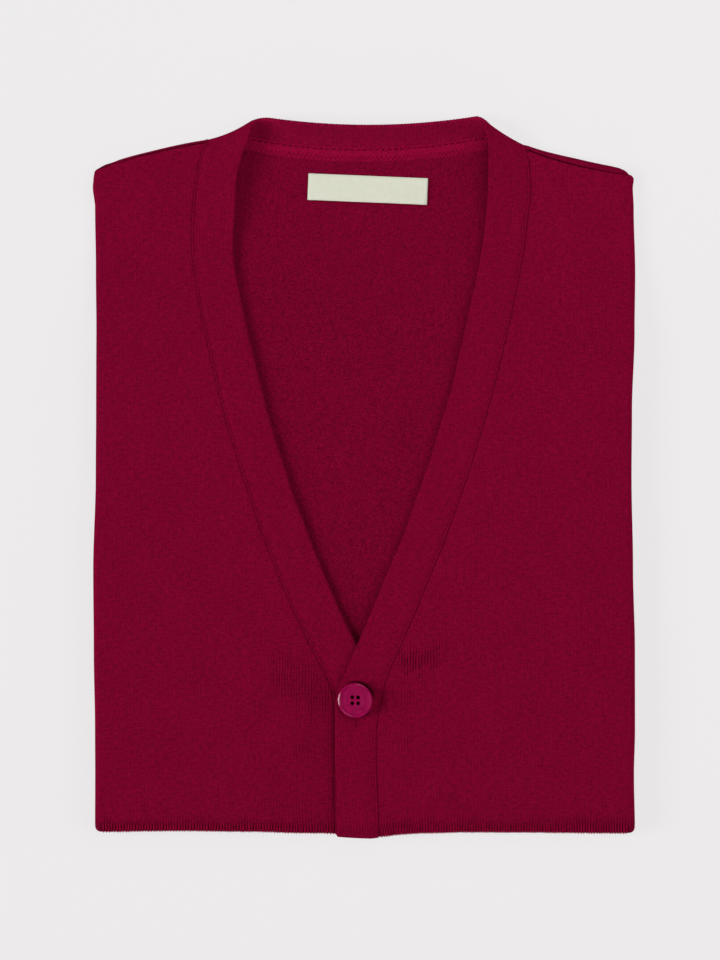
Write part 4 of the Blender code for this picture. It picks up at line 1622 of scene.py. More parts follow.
    def turned_end(self, inside: bool) -> Array:
        """The end that has turned over the shoulder.

        Args:
            inside: whether its inside face is meant.

        Returns:
            Rows of points, from its lowest one up.
        """
        across, fall = self.section()
        face = self.faces(np.array([self.half.stations[0]], float))[0]
        out = self.ridge_out()
        fall = np.minimum(fall, self.curl_round)
        reach = self.curl - self.curl_wall + fall if inside else self.curl - fall
        reach = reach * mix(self.curl_at_seam, 1.0, across)
        rows = []
        for angle in np.radians(np.linspace(*self.curl_angles)):
            down = np.stack([0 * reach, 0 * reach, reach * math.cos(angle) - self.curl], 1)
            rows.append(face + out * (reach * math.sin(angle))[:, None] + down)
        end = rows[0] - out * (self.curl_back * across)[:, None]
        end[:, 2] = self.curl_end
        side = [mix(end, rows[0], share) for share in (0.0, 0.25, 0.5, 0.75)]
        return np.array(side + rows)

    def grid(self, inside: bool) -> Array:
        """Points of the whole band.

        Args:
            inside: whether its underside is meant, or its face.

        Returns:
            Rows of points, down the band.
        """
        stations = splined(self.half.stations,
                           np.linspace(0, len(self.half.stations) - 1, self.rows + 1))
        _, fall = self.section()
        face = self.faces(stations)
        drop = self.pile.band_thick - fall if inside else fall
        flat = face.copy()
        flat[..., 2] -= drop
        rows = [*self.turned_end(inside), *flat]
        if self.turns_under:
            rows += round_fold(face[-1], drop, self.bend_steps)
            rows.append(rows[-1] + np.array((0.0, self.bottom_tuck, 0.0)))
        return np.array(rows)

    def painted_button_shade(self, x: Array, y: Array) -> Array:
        """Painted shade round the button's rim and in the end of its buttonhole.

        Args:
            x, y: places.

        Returns:
            How dark each place is, from 0 to 1.
        """
        sway = self.hole_sway * np.sin(y * self.hole_sways)
        aside = np.abs(x - self.hole_x + sway) / self.hole_half
        ends = (ease((y - self.hole_foot) / self.hole_foot_run)
                * ease((self.hole_top - y) / self.hole_top_run))
        loops = self.hole_loops * np.sin(y * self.hole_loop_turns + 1.0)
        total = self.hole_shade * ends * np.exp(-aside**2) * (1.0 - self.hole_loops + loops)
        mid_x, mid_y, radius = self.button
        beyond = np.maximum(np.hypot(x - mid_x, y - mid_y) - radius, 0.0)
        way = np.arctan2(y - mid_y, x - mid_x)
        for angle, wide, dark in self.button_shadows:
            facing = np.cos(way - math.radians(angle))
            open_way = ease((facing - self.button_shadow_from) / self.button_shadow_run)
            total = np.maximum(total, dark * open_way * np.exp(-(beyond / wide) ** 2))
        return total

    def painted_gap_shade(self, grid: Array, across: Array, along: Array) -> Array:
        """Painted shade: in the needle holes along the seam, and on the over band also round the
        button and in its buttonhole.

        Args:
            grid: points of the band's outside.
            across: share of each column between the seam and the free edge.
            along: length down the band at each row.

        Returns:
            How dark each point is, from 0 to 1.
        """
        run = along[:, None]
        uneven = 0.5 + 0.5 * np.sin(bent(run / self.seam_dots, run, self.seam_bends))
        total = (self.seam_gap_shade * uneven**self.seam_power
                 * (across[None, :] * self.wide < self.seam_wide))
        if self.half.is_over:
            total = np.maximum(total, self.painted_button_shade(grid[..., 0], grid[..., 1]))
        return total

    def shape(self) -> tuple[Object, Dress]:
        """Shape the band.

        Returns:
            Its mesh, and what it tells the frame.
        """
        outer, inner = self.grid(False), self.grid(True)
        across, _ = self.section()
        along = arc_lengths(outer[:, outer.shape[1] // 2])
        name = f"band_{self.half.side.name.lower()}"
        opened = self.open_most * ease((self.open_from_y - outer[..., 1]) / self.open_run)
        obj = Cloth(outer, inner, laid_out(across * self.wide, along), opened=opened,
                    painted_shade=self.painted_gap_shade(outer, across, along),
                    rim=self.rim).to_object(f"{name}_cloth")
        cut = (self.cut_wide, round(float(along[-1] * MM), 3))
        return obj, Dress(Slot.BAND, [name], flat=cut, rests_on=["back_cloth"])


@dataclass
class NeckBand(Piece):
    """Back neck band: its foot is on the back's neck seam and it leans back as it rises."""
    pile: Pile = PILE
    line: NeckLine = NECK
    from_x: float = -64.5
    to_x: float = 69.8
    mid_top: float = 196.1
    end_top: float = 201.3
    rise: float = 9.6
    end_rise: float = 11.0
    thick: float = 2.0
    top_round: float = 1.0
    tuck_right: float = 3.0
    tuck_left: float = 1.0
    tuck_share: float = 0.3
    lean_rate: float = 1.6
    lean: Point = (0.0, -0.72, 0.69)
    corner_right: float = -51.6      # where its top begins to round down, on each side
    corner_left: float = 62.0
    right_run: float = 9.4
    left_run: float = 6.0
    corner_drop: float = 2.4
    corner_most: float = 1.5         # runs after which it drops no further
    slant: float = 0.006             # its top is a little lower on the left side
    end_sink: float = 0.31           # share of its height that is left at both ends
    sink_run: float = 34.0
    scallop: float = 0.10
    scallop_pitch: float = 1.7
    scallop_bends: Bends = ((1.2, 5.0),)
    columns: int = 400
    cut: Pair = (0.024, 0.141)       # flat size and area, in metres
    cut_area: float = 0.0024
    profile: tuple[Pair, ...] = (
        (0.0, 0.0), (0.05, 0.003), (0.10, 0.01), (0.17, 0.035), (0.25, 0.08), (0.35, 0.165),
        (0.45, 0.27), (0.55, 0.39), (0.65, 0.52), (0.75, 0.655), (0.84, 0.785), (0.91, 0.89),
        (0.955, 0.955), (0.98, 0.99))

    def grid(self, depth: float) -> Array:
        """Points of its inside face, or of its outside.

        Args:
            depth: how far behind the inside face.

        Returns:
            Rows of points, from its foot up.
        """
        rows = []
        upright = np.array((0.0, 0.0, 1.0))
        for up, risen in self.profile:
            tuck = max(0.0, 1.0 - up / self.tuck_share)
            x = np.linspace(self.from_x - self.tuck_right * tuck,
                            self.to_x + self.tuck_left * tuck, self.columns)
            out = np.minimum(1.0, np.abs(x) / self.line.half) ** 2
            seam = self.line.y(x) + self.pile.gap
            beyond = np.maximum((x - self.corner_left) / self.left_run,
                                (self.corner_right - x) / self.right_run)
            corner = self.corner_drop * np.clip(beyond, 0.0, self.corner_most) ** 2
            top = mix(self.mid_top, self.end_top, out) - self.top_round - corner
            loops = bent(x * math.tau / self.scallop_pitch, x, self.scallop_bends)
            top += self.scallop * np.sin(loops) - self.slant * x
            beside = np.minimum(x - self.from_x, self.to_x - x)
            sunk = mix(self.end_sink, 1.0, ease(beside / self.sink_run))
            rise = mix(self.rise, self.end_rise, out) * risen * sunk
            lean = mix(upright, np.array(self.lean), float(ease(up * self.lean_rate)))
            face = lean / np.linalg.norm(lean)
            point = np.stack([x, mix(seam, top, up), self.pile.back(x, seam) + rise], 1)
            rows.append(point - face * depth)
        return np.array(rows)

    def shape(self) -> tuple[Object, Dress]:
        """Shape the neck band.

        Returns:
            Its mesh, and what it tells the frame.
        """
        outer, inner = self.grid(0.0), self.grid(self.thick)
        knit = laid_out(arc_lengths(outer[0]), arc_lengths(outer[:, outer.shape[1] // 2]))
        obj = Cloth(outer, inner, knit).to_object("band_neck_cloth")
        return obj, Dress(Slot.BAND, ["band_neck"], flat=self.cut, area=self.cut_area,
                          rests_on=["back_cloth"])


# ================================================================ back and what lies on it

@dataclass
class Back(Piece):
    """Back: its inside shows in the V, and a strip of it turns up at each shoulder."""
    pile: Pile = PILE
    line: NeckLine = NECK
    relief: Relief = BACK_RELIEF
    half_wide: float = 146.0
    foot: float = -186.4
    thick: float = 1.2
    rows: int = 150
    neck_half: float = 86.4          # the columns between these are even
    neck_columns: int = 82
    shoulder_columns: int = 26
    corner_columns: int = 8
    corner_wide: float = 3.5
    relief_side: float = 10.0        # the relief fades beside the bands
    relief_top: float = 24.0         # and below the neck seam
    shoulder_from: float = 87.0
    shoulder_gap: float = 0.74
    gap_at_corner: float = 0.40
    taper_from: float = 120.0        # where the shoulder's strip begins to narrow outwards
    neck_inset: float = 0.6
    corner_inset: float = 0.2
    corner_bow: float = 1.6
    end_round: float = 3.5
    end_flat: float = 0.9            # less than 1, so that the strip's end keeps some width
    fold_round: float = 0.9          # share of the side fold's radius that the strip follows
    strip_least: float = 0.4
    strip_from: float = 91.0
    strip_run: float = 30.0
    strip_reach: float = 1.3         # how far the strip reaches round the outer corner
    reach_run: float = 10.0
    strip_fall: float = 0.35         # and falls there
    fall_run: float = 6.0
    strip_lip: float = 0.5           # how far its last row rises on the underside
    cut: Pair = (0.291, 0.374)       # flat size, in metres
    strip_profile: tuple[Pair, ...] = (
        (0.03, 0.45), (0.10, 0.80), (0.25, 0.97), (0.50, 1.0), (0.75, 0.93), (0.92, 0.72),
        (1.0, 0.45))

    def columns(self) -> Array:
        """Places of the columns.

        Returns:
            X of each: closer where the inside shows and at the outer corners.
        """
        shoulder_end = self.half_wide - self.corner_wide - 0.5
        outer = np.concatenate([
            np.linspace(self.shoulder_from, shoulder_end, self.shoulder_columns),
            np.linspace(self.half_wide - self.corner_wide, self.half_wide,
                        self.corner_columns)])
        middle = np.linspace(-self.neck_half, self.neck_half, self.neck_columns)
        return merged(-outer, middle, outer)

    def tapered(self, away: Array) -> Array:
        """How far along the taper towards the outer corner a place is, from 0 to 1."""
        return np.clip((away - self.taper_from) / (self.half_wide - self.taper_from), 0, 1)

    def top_y(self, x: Array) -> Array:
        """Upper edge: the neck seam, and the fronts' edge on the shoulders.

        Args:
            x: places across.

        Returns:
            Y of the edge at each place.
        """
        high = np.empty_like(x)
        for half in (RIGHT, LEFT):
            mine = x * half.sign > 0
            ridge, away = half.stations[0], np.abs(x[mine])
            gap = mix(self.shoulder_gap, self.gap_at_corner, ease(self.tapered(away)))
            shoulder = gap + half.front_edge_y(x[mine], self.pile.seam_gap,
                                               self.pile.side_roll)
            out = np.clip((away - self.line.reach) / (abs(ridge.seam_x) - self.line.reach), 0, 1)
            corner = (mix(self.line.y(self.line.reach) - self.neck_inset,
                          ridge.seam_y - self.corner_inset, out)
                      + 4.0 * self.corner_bow * out * (1.0 - out))
            neck = self.line.y(x[mine]) - self.neck_inset
            high[mine] = np.where(away >= self.shoulder_from, shoulder,
                                  np.where(away <= self.line.reach, neck, corner))
        high[x == 0] = self.line.mid_y - self.neck_inset
        return high

    def strip_wide(self, x: Array) -> Array:
        """Width of the strip behind the shoulders.

        Args:
            x: places across.

        Returns:
            Width at each place, 0 where there is no strip.
        """
        start = np.where(x > 0, LEFT.strip_start, RIGHT.strip_start)
        full = np.where(x > 0, LEFT.strip, RIGHT.strip)
        end = np.where(x > 0, LEFT.strip_end, RIGHT.strip_end)
        away = np.abs(x)
        strip = mix(mix(start, full, ease((away - self.strip_from) / self.strip_run)), end,
                    self.tapered(away))
        beyond = np.clip((away - self.half_wide) / self.end_round + 1.0, 0.0, 1.0)
        return np.where(away >= self.shoulder_from,
                        strip * np.sqrt(1.0 - self.end_flat * beyond**2), 0.0)

    def grid(self, depth: float) -> Array:
        """Points of its inside face, or under it.

        Args:
            depth: how far under it.

        Returns:
            Rows of points from its foot up, and then out over the shoulders' strip.
        """
        x = self.columns()
        top, away, strip = self.top_y(x), np.abs(x), self.strip_wide(x)
        roll, from_end = self.pile.side_roll, away - self.half_wide
        roll_from = np.where(x > 0, LEFT.fold_x(LEFT.corner_y), RIGHT.fold_x(RIGHT.corner_y))
        corner = self.strip_fall * ease((from_end + self.fall_run) / self.fall_run) ** 2
        past = np.clip(away - roll_from + roll, 0.0, self.fold_round * roll)
        fall = roll - np.sqrt(roll**2 - past**2)
        rows = []
        for share in np.linspace(0.0, 1.0, self.rows):
            y = mix(self.foot, top, share)
            inside = (ease((x - RIGHT.edge_x(y)) / self.relief_side)
                      * ease((LEFT.edge_x(y) - x) / self.relief_side)
                      * ease((top - y) / self.relief_top))
            z = self.pile.back(x, y) + self.relief.height(x, y) * inside - depth
            rows.append(np.stack([x, y, z], 1))
        low = self.pile.back(x, top)
        reach = (np.sign(x) * self.strip_reach
                 * ease((from_end + self.reach_run) / self.reach_run))
        for out, up in self.strip_profile:
            y = top + np.maximum(self.strip_least, strip) * out
            raised = mix(low, self.pile.outside(x, y) - fall, up)
            upper = np.where(strip > 0, raised, low)
            z = upper if depth == 0 else low - depth + (self.strip_lip if out == 1.0 else 0.0)
            rows.append(np.stack([x + reach * ease(up), y - corner * ease(out), z], 1))
        return np.array(rows)

    def shape(self) -> tuple[Object, Dress]:
        """Shape the back.

        Returns:
            Its mesh, and what it tells the frame.
        """
        outer, inner = self.grid(0.0), self.grid(self.thick)
        obj = Cloth(outer, inner, outer[..., :2].copy()).to_object("back_cloth")
        return obj, Dress(Slot.JERSEY, ["back_panel"], flat=self.cut,
                          rests_on=["layers_cloth"])


@dataclass
class NeckTape(Piece):
    """Tape that covers the neck seam, on the inside of the back, with painted shade in the needle
    holes along its foot.
    """
    pile: Pile = PILE
    line: NeckLine = NECK
    thick: float = 0.55
    from_x: float = -67.0
    to_x: float = 69.5
    columns: int = 540
    edge_down: float = 0.3           # how far its thin edges come down to the back
    ripple: float = 0.05
    ripple_pitch: float = 3.1
    # needle holes along the foot, drawn as painted shade
    prick_pitch: float = 2.45
    prick_bends: Bends = ((0.8, 4.3), (0.6, 1.9))
    prick_rows: tuple[float, ...] = (3.75, 5.05)
    prick_size: float = 0.50
    prick_power: float = 1.5
    prick_fade: float = 0.25         # how much fainter they get by turns, and how slowly
    prick_fade_pitch: float = 7.0
    cut: Pair = (0.0101, 0.137)      # flat size and area, in metres
    cut_area: float = 0.00075
    section: tuple[Pair, ...] = (
        (-0.1, 0.32), (0.4, 0.7), (0.9, 0.95), (1.4, 1.0), (2.1, 1.05), (2.8, 1.0),
        (3.2, 0.85), (3.5, 0.75), (3.8, 0.7), (4.1, 0.72), (4.4, 0.72), (4.8, 0.68),
        (5.1, 0.6), (5.4, 0.5), (5.8, 0.3), (6.1, 0.12))

    def grid(self, thick: float) -> Array:
        """Points of its face, or of its underside.

        Args:
            thick: its full thickness, or 0 for the underside.

        Returns:
            Rows of points, down the tape.
        """
        x = np.linspace(self.from_x, self.to_x, self.columns)
        rows = []
        for down, share in self.section:
            y = self.line.y(x) - down
            lift = (self.pile.gap * min(1.0, share + self.edge_down)
                    + self.ripple * np.sin(x / self.ripple_pitch + down))
            rows.append(np.stack([x, y, self.pile.back(x, y) + lift + thick * share], 1))
        return np.array(rows)

    def painted_gap_shade(self) -> Array:
        """Painted shade in the holes of the needle, in rows that are set by turns.

        Returns:
            How dark each point is, from 0 to 1.
        """
        down = np.array([row[0] for row in self.section])[:, None]
        x = np.linspace(self.from_x, self.to_x, self.columns)[None, :]
        turn = bent(x * math.tau / self.prick_pitch, x, self.prick_bends)
        total = np.zeros(np.broadcast_shapes(down.shape, x.shape))
        for number, row in enumerate(self.prick_rows):
            near = np.exp(-((down - row) / self.prick_size) ** 2)
            holes = np.clip(np.cos(turn + number * math.pi), 0.0, 1.0)
            total += near * holes**self.prick_power
        faint = self.prick_fade * np.sin(x / self.prick_fade_pitch)
        return np.clip(total * (1.0 - self.prick_fade + faint), 0.0, 1.0)

    def shape(self) -> tuple[Object, Dress]:
        """Shape the tape.

        Returns:
            Its mesh, and what it tells the frame.
        """
        outer, inner = self.grid(self.thick), self.grid(0.0)
        knit = laid_out(arc_lengths(outer[0]), arc_lengths(outer[:, 0]))
        obj = Cloth(outer, inner, knit, painted_shade=self.painted_gap_shade()).to_object("neck_tape_cloth")
        return obj, Dress(Slot.TAPE, ["neck_tape"], flat=self.cut, area=self.cut_area,
                          held="laid", rests_on=["back_cloth"])


@dataclass
class Label(Piece):
    """Bare woven label, its two ends folded under and sewn to the back."""
    pile: Pile = PILE
    relief: Relief = BACK_RELIEF
    size: Pair = (66.4, 14.6)
    at: Pair = (2.1, 160.8)
    turn: float = math.radians(-2.4)
    thick: float = 0.55
    fold: float = 3.0            # of each end, where it is thicker
    fold_thick: float = 0.22
    fold_run: float = 0.8
    bulge: float = 0.35          # its middle stands off the cloth
    bulge_run: float = 9.0
    bulge_low: float = 0.5       # more at its lower edge, less at the upper
    follow: float = 0.8          # how far it follows the back's relief
    rim: float = 0.2             # how far its rim rounds out, in thicknesses
    cut: Pair = (0.0664, 0.0146)     # flat size, in metres
    columns: int = 60
    rows: int = 14

    def place(self, u: Array, v: Array) -> tuple[Array, Array]:
        """Plan place of a point of the label."""
        cosine, sine = math.cos(self.turn), math.sin(self.turn)
        return (self.at[0] + u * cosine - v * sine, self.at[1] + u * sine + v * cosine)

    def grid(self, top: bool) -> tuple[Array, Array]:
        """Points of its face or of its underside.

        Args:
            top: whether its face is meant.

        Returns:
            The points, and their places on the weave.
        """
        wide, high = self.size
        u, v = np.meshgrid(np.linspace(-wide / 2, wide / 2, self.columns),
                           np.linspace(-high / 2, high / 2, self.rows))
        x, y = self.place(u, v)
        from_end = wide / 2 - np.abs(u)
        folded = self.fold_thick * (1.0 - ease((from_end - self.fold) / self.fold_run))
        stand = (self.bulge * ease(from_end / self.bulge_run)
                 * (1.0 - self.bulge_low * v / (high / 2)))
        low = (self.pile.back(x, y) + self.relief.height(x, y) * self.follow
               + self.pile.gap + stand)
        z = low + ((self.thick + folded) if top else 0.0)
        return np.stack([x, y, z], 2), np.stack([u, v], 2)

    def shape(self) -> tuple[Object, Dress]:
        """Shape the label.

        Returns:
            Its mesh, and what it tells the frame.
        """
        outer, weave = self.grid(True)
        obj = Cloth(outer, self.grid(False)[0], weave, rim=self.rim).to_object("label_cloth")
        return obj, Dress(Slot.LABEL, ["label"], flat=self.cut, held="laid",
                          rests_on=["back_cloth"])


@dataclass
class HiddenLayers(Piece):
    """The layers that the fold hides: one rounded solid, layered at its edges."""
    pile: Pile = PILE
    back: Back = field(default_factory=Back)
    half_wide: float = 135.6
    cloth: float = 1.4
    layers: int = 4
    steps: int = 5               # rows of the rim to each layer
    groove: float = 0.7          # how far the rim draws in between two layers
    groove_power: int = 3
    columns: int = 60
    rows: int = 90
    hem_groove: float = 0.5
    hem_groove_half: float = 1.2
    rim_from: float = 0.97       # share of its half size from which a point is on that side
    cut: Pair = (0.271, 0.373)       # flat size, in metres

    def surface(self, top: bool) -> Array:
        """Points of its top or of its flat underside.

        Args:
            top: whether its top is meant.

        Returns:
            Rows of points, from its foot up.
        """
        x = np.linspace(-self.half_wide, self.half_wide, self.columns)
        high = self.back.top_y(x)
        rows = []
        for share in merged(np.linspace(0.0, 1.0, self.rows)):
            y = mix(self.back.foot, high, share)
            if top:
                z = self.pile.back(x, y) - self.cloth - self.pile.gap
            else:
                from_hem = (y - self.pile.hem_y) / self.hem_groove_half
                z = self.hem_groove * np.exp(-from_hem**2)
            rows.append(np.stack([x, y, z], 1))
        return np.array(rows)

    def walls(self, top: Array, low: Array) -> list[Array]:
        """Rings of the rim between the underside and the top.

        Args:
            top, low: points of both surfaces' edge, all the way round.

        Returns:
            The rings, from the underside up.
        """
        middle = np.array((0.0, (low[:, 1].min() + low[:, 1].max()) / 2, 0.0))
        inwards = middle - low
        inwards[:, 2] = 0.0
        away = np.abs(low - middle)
        inwards = np.sign(inwards) * (away > away.max(0) * self.rim_from)
        levels = self.layers * self.steps
        rings = []
        for share in np.arange(1, levels) / levels:
            draw = abs(math.cos(math.pi * share * self.layers)) ** self.groove_power
            rings.append(mix(low, top, share) + inwards * (self.groove * draw))
        return rings

    def shape(self) -> tuple[Object, Dress]:
        """Shape the solid.

        Returns:
            Its mesh, and what it tells the frame.
        """
        top, low = self.surface(True), self.surface(False)
        rows, cols = top.shape[:2]
        count = rows * cols
        ring = np.concatenate([np.arange(cols), np.arange(1, rows) * cols + cols - 1,
                               (rows - 1) * cols + np.arange(cols - 2, -1, -1),
                               np.arange(rows - 2, 0, -1) * cols])
        flat_top, flat_low = top.reshape(count, 3), low.reshape(count, 3)
        walls = self.walls(flat_top[ring], flat_low[ring])
        points = np.concatenate([flat_top, flat_low, *walls])
        a = (np.arange(rows - 1)[:, None] * cols + np.arange(cols - 1)).ravel()
        faces = np.stack([a, a + 1, a + cols + 1, a + cols], 1)
        quads = [faces, faces[:, ::-1] + count]
        span = len(ring)
        numbers = [ring + count] + [2 * count + k * span + np.arange(span)
                                    for k in range(len(walls))] + [ring]
        for below, above in zip(numbers, numbers[1:]):
            quads.append(np.stack([below, np.roll(below, -1), np.roll(above, -1), above], 1))
        knit = points[:, :2] + np.stack([0 * points[:, 2], points[:, 2]], 1)
        obj = mesh_object("layers_cloth", points, np.concatenate(quads), knit)
        return obj, Dress(Slot.JERSEY, ["folded_layers"], flat=self.cut)


# ================================================================ sewing

class Row(NamedTuple):
    """How a row of stitches is set out, in metres and radians."""
    spacing: float
    length: float
    rise: float
    radius: float
    turn: float = 0.0        # of each stitch from the row's line
    swing: float = 0.0       # turned by turns to one side and the other
    jitter: float = 0.12


@dataclass
class StitchRows:
    """Stitches along lines, made by one Geometry Nodes tree."""
    arch_steps: int = 4
    sides: int = 6
    seed: int = 7

    def __post_init__(self) -> None:
        """Build the tree once."""
        self.tree = self.make_tree()

    def stitch(self, w: Wiring, given: Sockets) -> Socket:
        """One arched stitch, on X.

        Args:
            w: wiring of the tree.
            given: the tree's inputs.

        Returns:
            Its mesh.
        """
        half = w.math("MULTIPLY", given["Length"], 0.5)
        arch = w.node("GeometryNodeCurveQuadraticBezier")
        w.fill(arch, Resolution=self.arch_steps,
               Start=w.vector(w.math("MULTIPLY", half, -1.0), 0.0, 0.0),
               Middle=w.vector(0.0, 0.0, w.math("MULTIPLY", given["Rise"], 2.0)),
               End=w.vector(half, 0.0, 0.0))
        ring = w.node("GeometryNodeCurvePrimitiveCircle")
        w.fill(ring, Resolution=self.sides, Radius=given["Radius"])
        stitch = w.node("GeometryNodeCurveToMesh")
        w.fill(stitch, Curve=arch.outputs["Curve"], Profile_Curve=ring.outputs["Curve"],
               Fill_Caps=True)
        return stitch.outputs[0]

    def turned(self, w: Wiring, given: Sockets) -> Socket:
        """Way each stitch lies: along the row, turned, swung by turns and a little uneven.

        Args:
            w: wiring of the tree.
            given: the tree's inputs.

        Returns:
            Its rotation.
        """
        line_up = w.node("FunctionNodeAlignRotationToVector", axis="X", pivot_axis="AUTO")
        w.put(line_up.inputs["Vector"], w.node("GeometryNodeInputTangent").outputs[0])
        index = w.node("GeometryNodeInputIndex").outputs[0]
        parity = w.math("MULTIPLY_ADD", w.math("MODULO", index, 2.0), 2.0, -1.0)
        chance = w.node("FunctionNodeRandomValue", data_type="FLOAT")
        w.fill(chance, Min=-1.0, Max=1.0, Seed=self.seed)
        random_turn = w.math("MULTIPLY", chance.outputs["Value"], given["Jitter"])
        swung = w.math("MULTIPLY", parity, given["Swing"])
        angle = w.math("ADD", w.math("ADD", swung, random_turn), given["Turn"])
        spin = w.node("FunctionNodeAxisAngleToRotation")
        w.fill(spin, Axis=(0.0, 0.0, 1.0), Angle=angle)
        rotate = w.node("FunctionNodeRotateRotation", rotation_space="LOCAL")
        w.fill(rotate, Rotation=line_up.outputs[0], Rotate_By=spin.outputs[0])
        return rotate.outputs[0]

    def make_tree(self) -> Tree:
        """Tree that sets arched stitches along a curve.

        Returns:
            The new tree, with named inputs for its sizes.
        """
        tree = bpy.data.node_groups.new("row of stitches", "GeometryNodeTree")
        sockets = [("Geometry", "INPUT", "NodeSocketGeometry"),
                   *((title.title(), "INPUT", FLOAT) for title in Row._fields),
                   ("Material", "INPUT", "NodeSocketMaterial"),
                   ("Geometry", "OUTPUT", "NodeSocketGeometry")]
        for title, way, kind in sockets:
            tree.interface.new_socket(name=title, in_out=way, socket_type=kind)
        w = Wiring(tree)
        given, made = w.node("NodeGroupInput").outputs, w.node("NodeGroupOutput")
        spaced = w.node("GeometryNodeResampleCurve", mode="LENGTH")
        w.fill(spaced, Curve=given["Geometry"], Length=given["Spacing"])
        place = w.node("GeometryNodeInstanceOnPoints")
        w.fill(place, Points=spaced.outputs[0], Instance=self.stitch(w, given),
               Rotation=self.turned(w, given))
        real = w.node("GeometryNodeRealizeInstances")
        smooth = w.node("GeometryNodeSetShadeSmooth")
        finish = w.node("GeometryNodeSetMaterial")
        w.put(real.inputs[0], place.outputs[0])
        w.put(smooth.inputs[0], real.outputs[0])
        w.fill(finish, Geometry=smooth.outputs[0], Material=given["Material"])
        w.put(made.inputs[0], finish.outputs[0])
        return tree

    def sew(self, name: str, lines: Sequence[Array], row: Row, material: Material) -> Object:
        """Stitches along some lines, as one plain mesh.

        Args:
            name: of the piece.
            lines: points of each line, in millimetres.
            row: how the stitches are set out.
            material: of the thread.

        Returns:
            The finished piece.
        """
        curve = bpy.data.curves.new(f"{name} lines", "CURVE")
        curve.dimensions = "3D"
        for line in lines:
            spline = curve.splines.new("POLY")
            spline.points.add(len(line) - 1)
            padded = np.concatenate([line * MM, np.ones((len(line), 1))], 1)
            spline.points.foreach_set("co", padded.ravel())
        source = placed(f"{name} lines", curve)
        modifier = source.modifiers.new("stitches", "NODES")
        modifier.node_group = self.tree
        values = {title.title(): value for title, value in row._asdict().items()}
        values["Material"] = material
        for socket in self.tree.interface.items_tree:
            if socket.in_out == "INPUT" and socket.name in values:
                modifier[socket.identifier] = values[socket.name]
        graph = bpy.context.evaluated_depsgraph_get()
        mesh = bpy.data.meshes.new_from_object(source.evaluated_get(graph), depsgraph=graph)
        mesh.name = name
        bpy.data.objects.remove(source, do_unlink=True)
        obj = placed(name, mesh)
        Dress(Slot.TAPE).put_on(obj, material)
        return obj


@dataclass
class Sewing:
    """Every row of stitches that shows on the vest."""
    rows: StitchRows
    pile: Pile = PILE
    line: NeckLine = NECK
    hole_x: float = -4.4
    hole_top: float = -131.0
    hole_foot: float = -139.4
    hole_half: float = 1.35
    hole_points: int = 60
    seam_start: float = 0.3          # in rows of the band's table
    seam_points: int = 400
    seam_sink: float = 0.45          # under the band's face
    neck_from: float = -63.5
    neck_points: int = 300

    def seam_line(self, half: Half, inwards: float) -> Array:
        """Line along a front band's seam, on the band's side of it.

        Args:
            half: whose seam.
            inwards: from the seam towards the free edge, in millimetres.

        Returns:
            Points down the seam.
        """
        stations = splined(half.stations, np.linspace(
            self.seam_start, len(half.stations) - 1, self.seam_points))
        seam, edge = stations[:, :2], stations[:, 2:]
        across = edge - seam
        across /= np.linalg.norm(across, axis=1, keepdims=True)
        place = seam + across * inwards
        z = (self.pile.front(half, place[:, 0], place[:, 1])
             + self.pile.band_proud - self.seam_sink)
        return np.column_stack([place, z])

    def hole_lines(self) -> list[Array]:
        """Lines on both sides of the upright buttonhole.

        Returns:
            Points of each line.
        """
        y = np.linspace(self.hole_top, self.hole_foot, self.hole_points)
        rise = self.pile.band_proud + FrontBand.over_rise
        sides = (np.full_like(y, self.hole_x + aside)
                 for aside in (-self.hole_half, self.hole_half))
        return [np.column_stack([x, y, self.pile.front(LEFT, x, y) + rise]) for x in sides]

    def neck_line(self, down: float, lift: float, from_x: float, to_x: float) -> Array:
        """Line along the neck seam.

        Args:
            down: how far below the seam.
            lift: how far above the back's inside face.
            from_x, to_x: its ends.

        Returns:
            Points along it.
        """
        x = np.linspace(from_x, to_x, self.neck_points)
        y = self.line.y(x) - down
        return np.column_stack([x, y, self.pile.back(x, y) + lift])

    def build(self, thread: Material, neck_thread: Material) -> None:
        """Sew every row.

        Args:
            thread: finish of the fronts' thread.
            neck_thread: finish of the thread on the neck seam, a copy of the seam thread painted
                lighter.
        """
        for name, lines, row, material in (
                ("seam_right", [self.seam_line(RIGHT, 0.7)],
                 Row(0.0023, 0.0015, 0.00016, 0.00026, jitter=0.3), thread),
                ("seam_left", [self.seam_line(LEFT, 1.0)],
                 Row(0.0022, 0.0014, 0.00014, 0.00024, jitter=0.3), thread),
                ("neck_chain", [self.neck_line(-1.35, 0.32, self.neck_from, 68.5)],
                 Row(0.00245, 0.0021, 0.00024, 0.00034, turn=0.22), neck_thread),
                ("neck_seam", [self.neck_line(-0.35, 0.40, self.neck_from, 68.0)],
                 Row(0.0034, 0.0016, 0.00016, 0.00030, turn=0.55, jitter=0.6), neck_thread),
                ("neck_zigzag", [self.neck_line(4.4, 0.80, self.neck_from + 0.5, 67.2)],
                 Row(0.001225, 0.0023, 0.00016, 0.00022, 1.57, 0.48, 0.15), neck_thread),
                ("buttonhole", self.hole_lines(),
                 Row(0.0008, 0.0013, 0.00014, 0.0002, math.pi / 2, jitter=0.3), thread)):
            self.rows.sew(f"{name}_stitches", lines, row, material)


# ================================================================ studio

@dataclass
class Lamp:
    """A soft lamp over the table."""
    name: str
    at: Point
    size: Pair
    watts: float
    colour: Colour = (1.0, 1.0, 1.0)
    aim: Point = (0.0, 0.0, 0.0)

    def build(self) -> None:
        """Hang the lamp, turned to what it lights."""
        data = bpy.data.lights.new(self.name, "AREA")
        data.shape = "RECTANGLE"
        data.size, data.size_y = self.size
        data.energy = self.watts
        data.color = self.colour
        obj = placed(self.name, data)
        obj.location = self.at
        way = Vector(self.aim) - Vector(self.at)
        obj.rotation_euler = way.to_track_quat("-Z", "Y").to_euler()


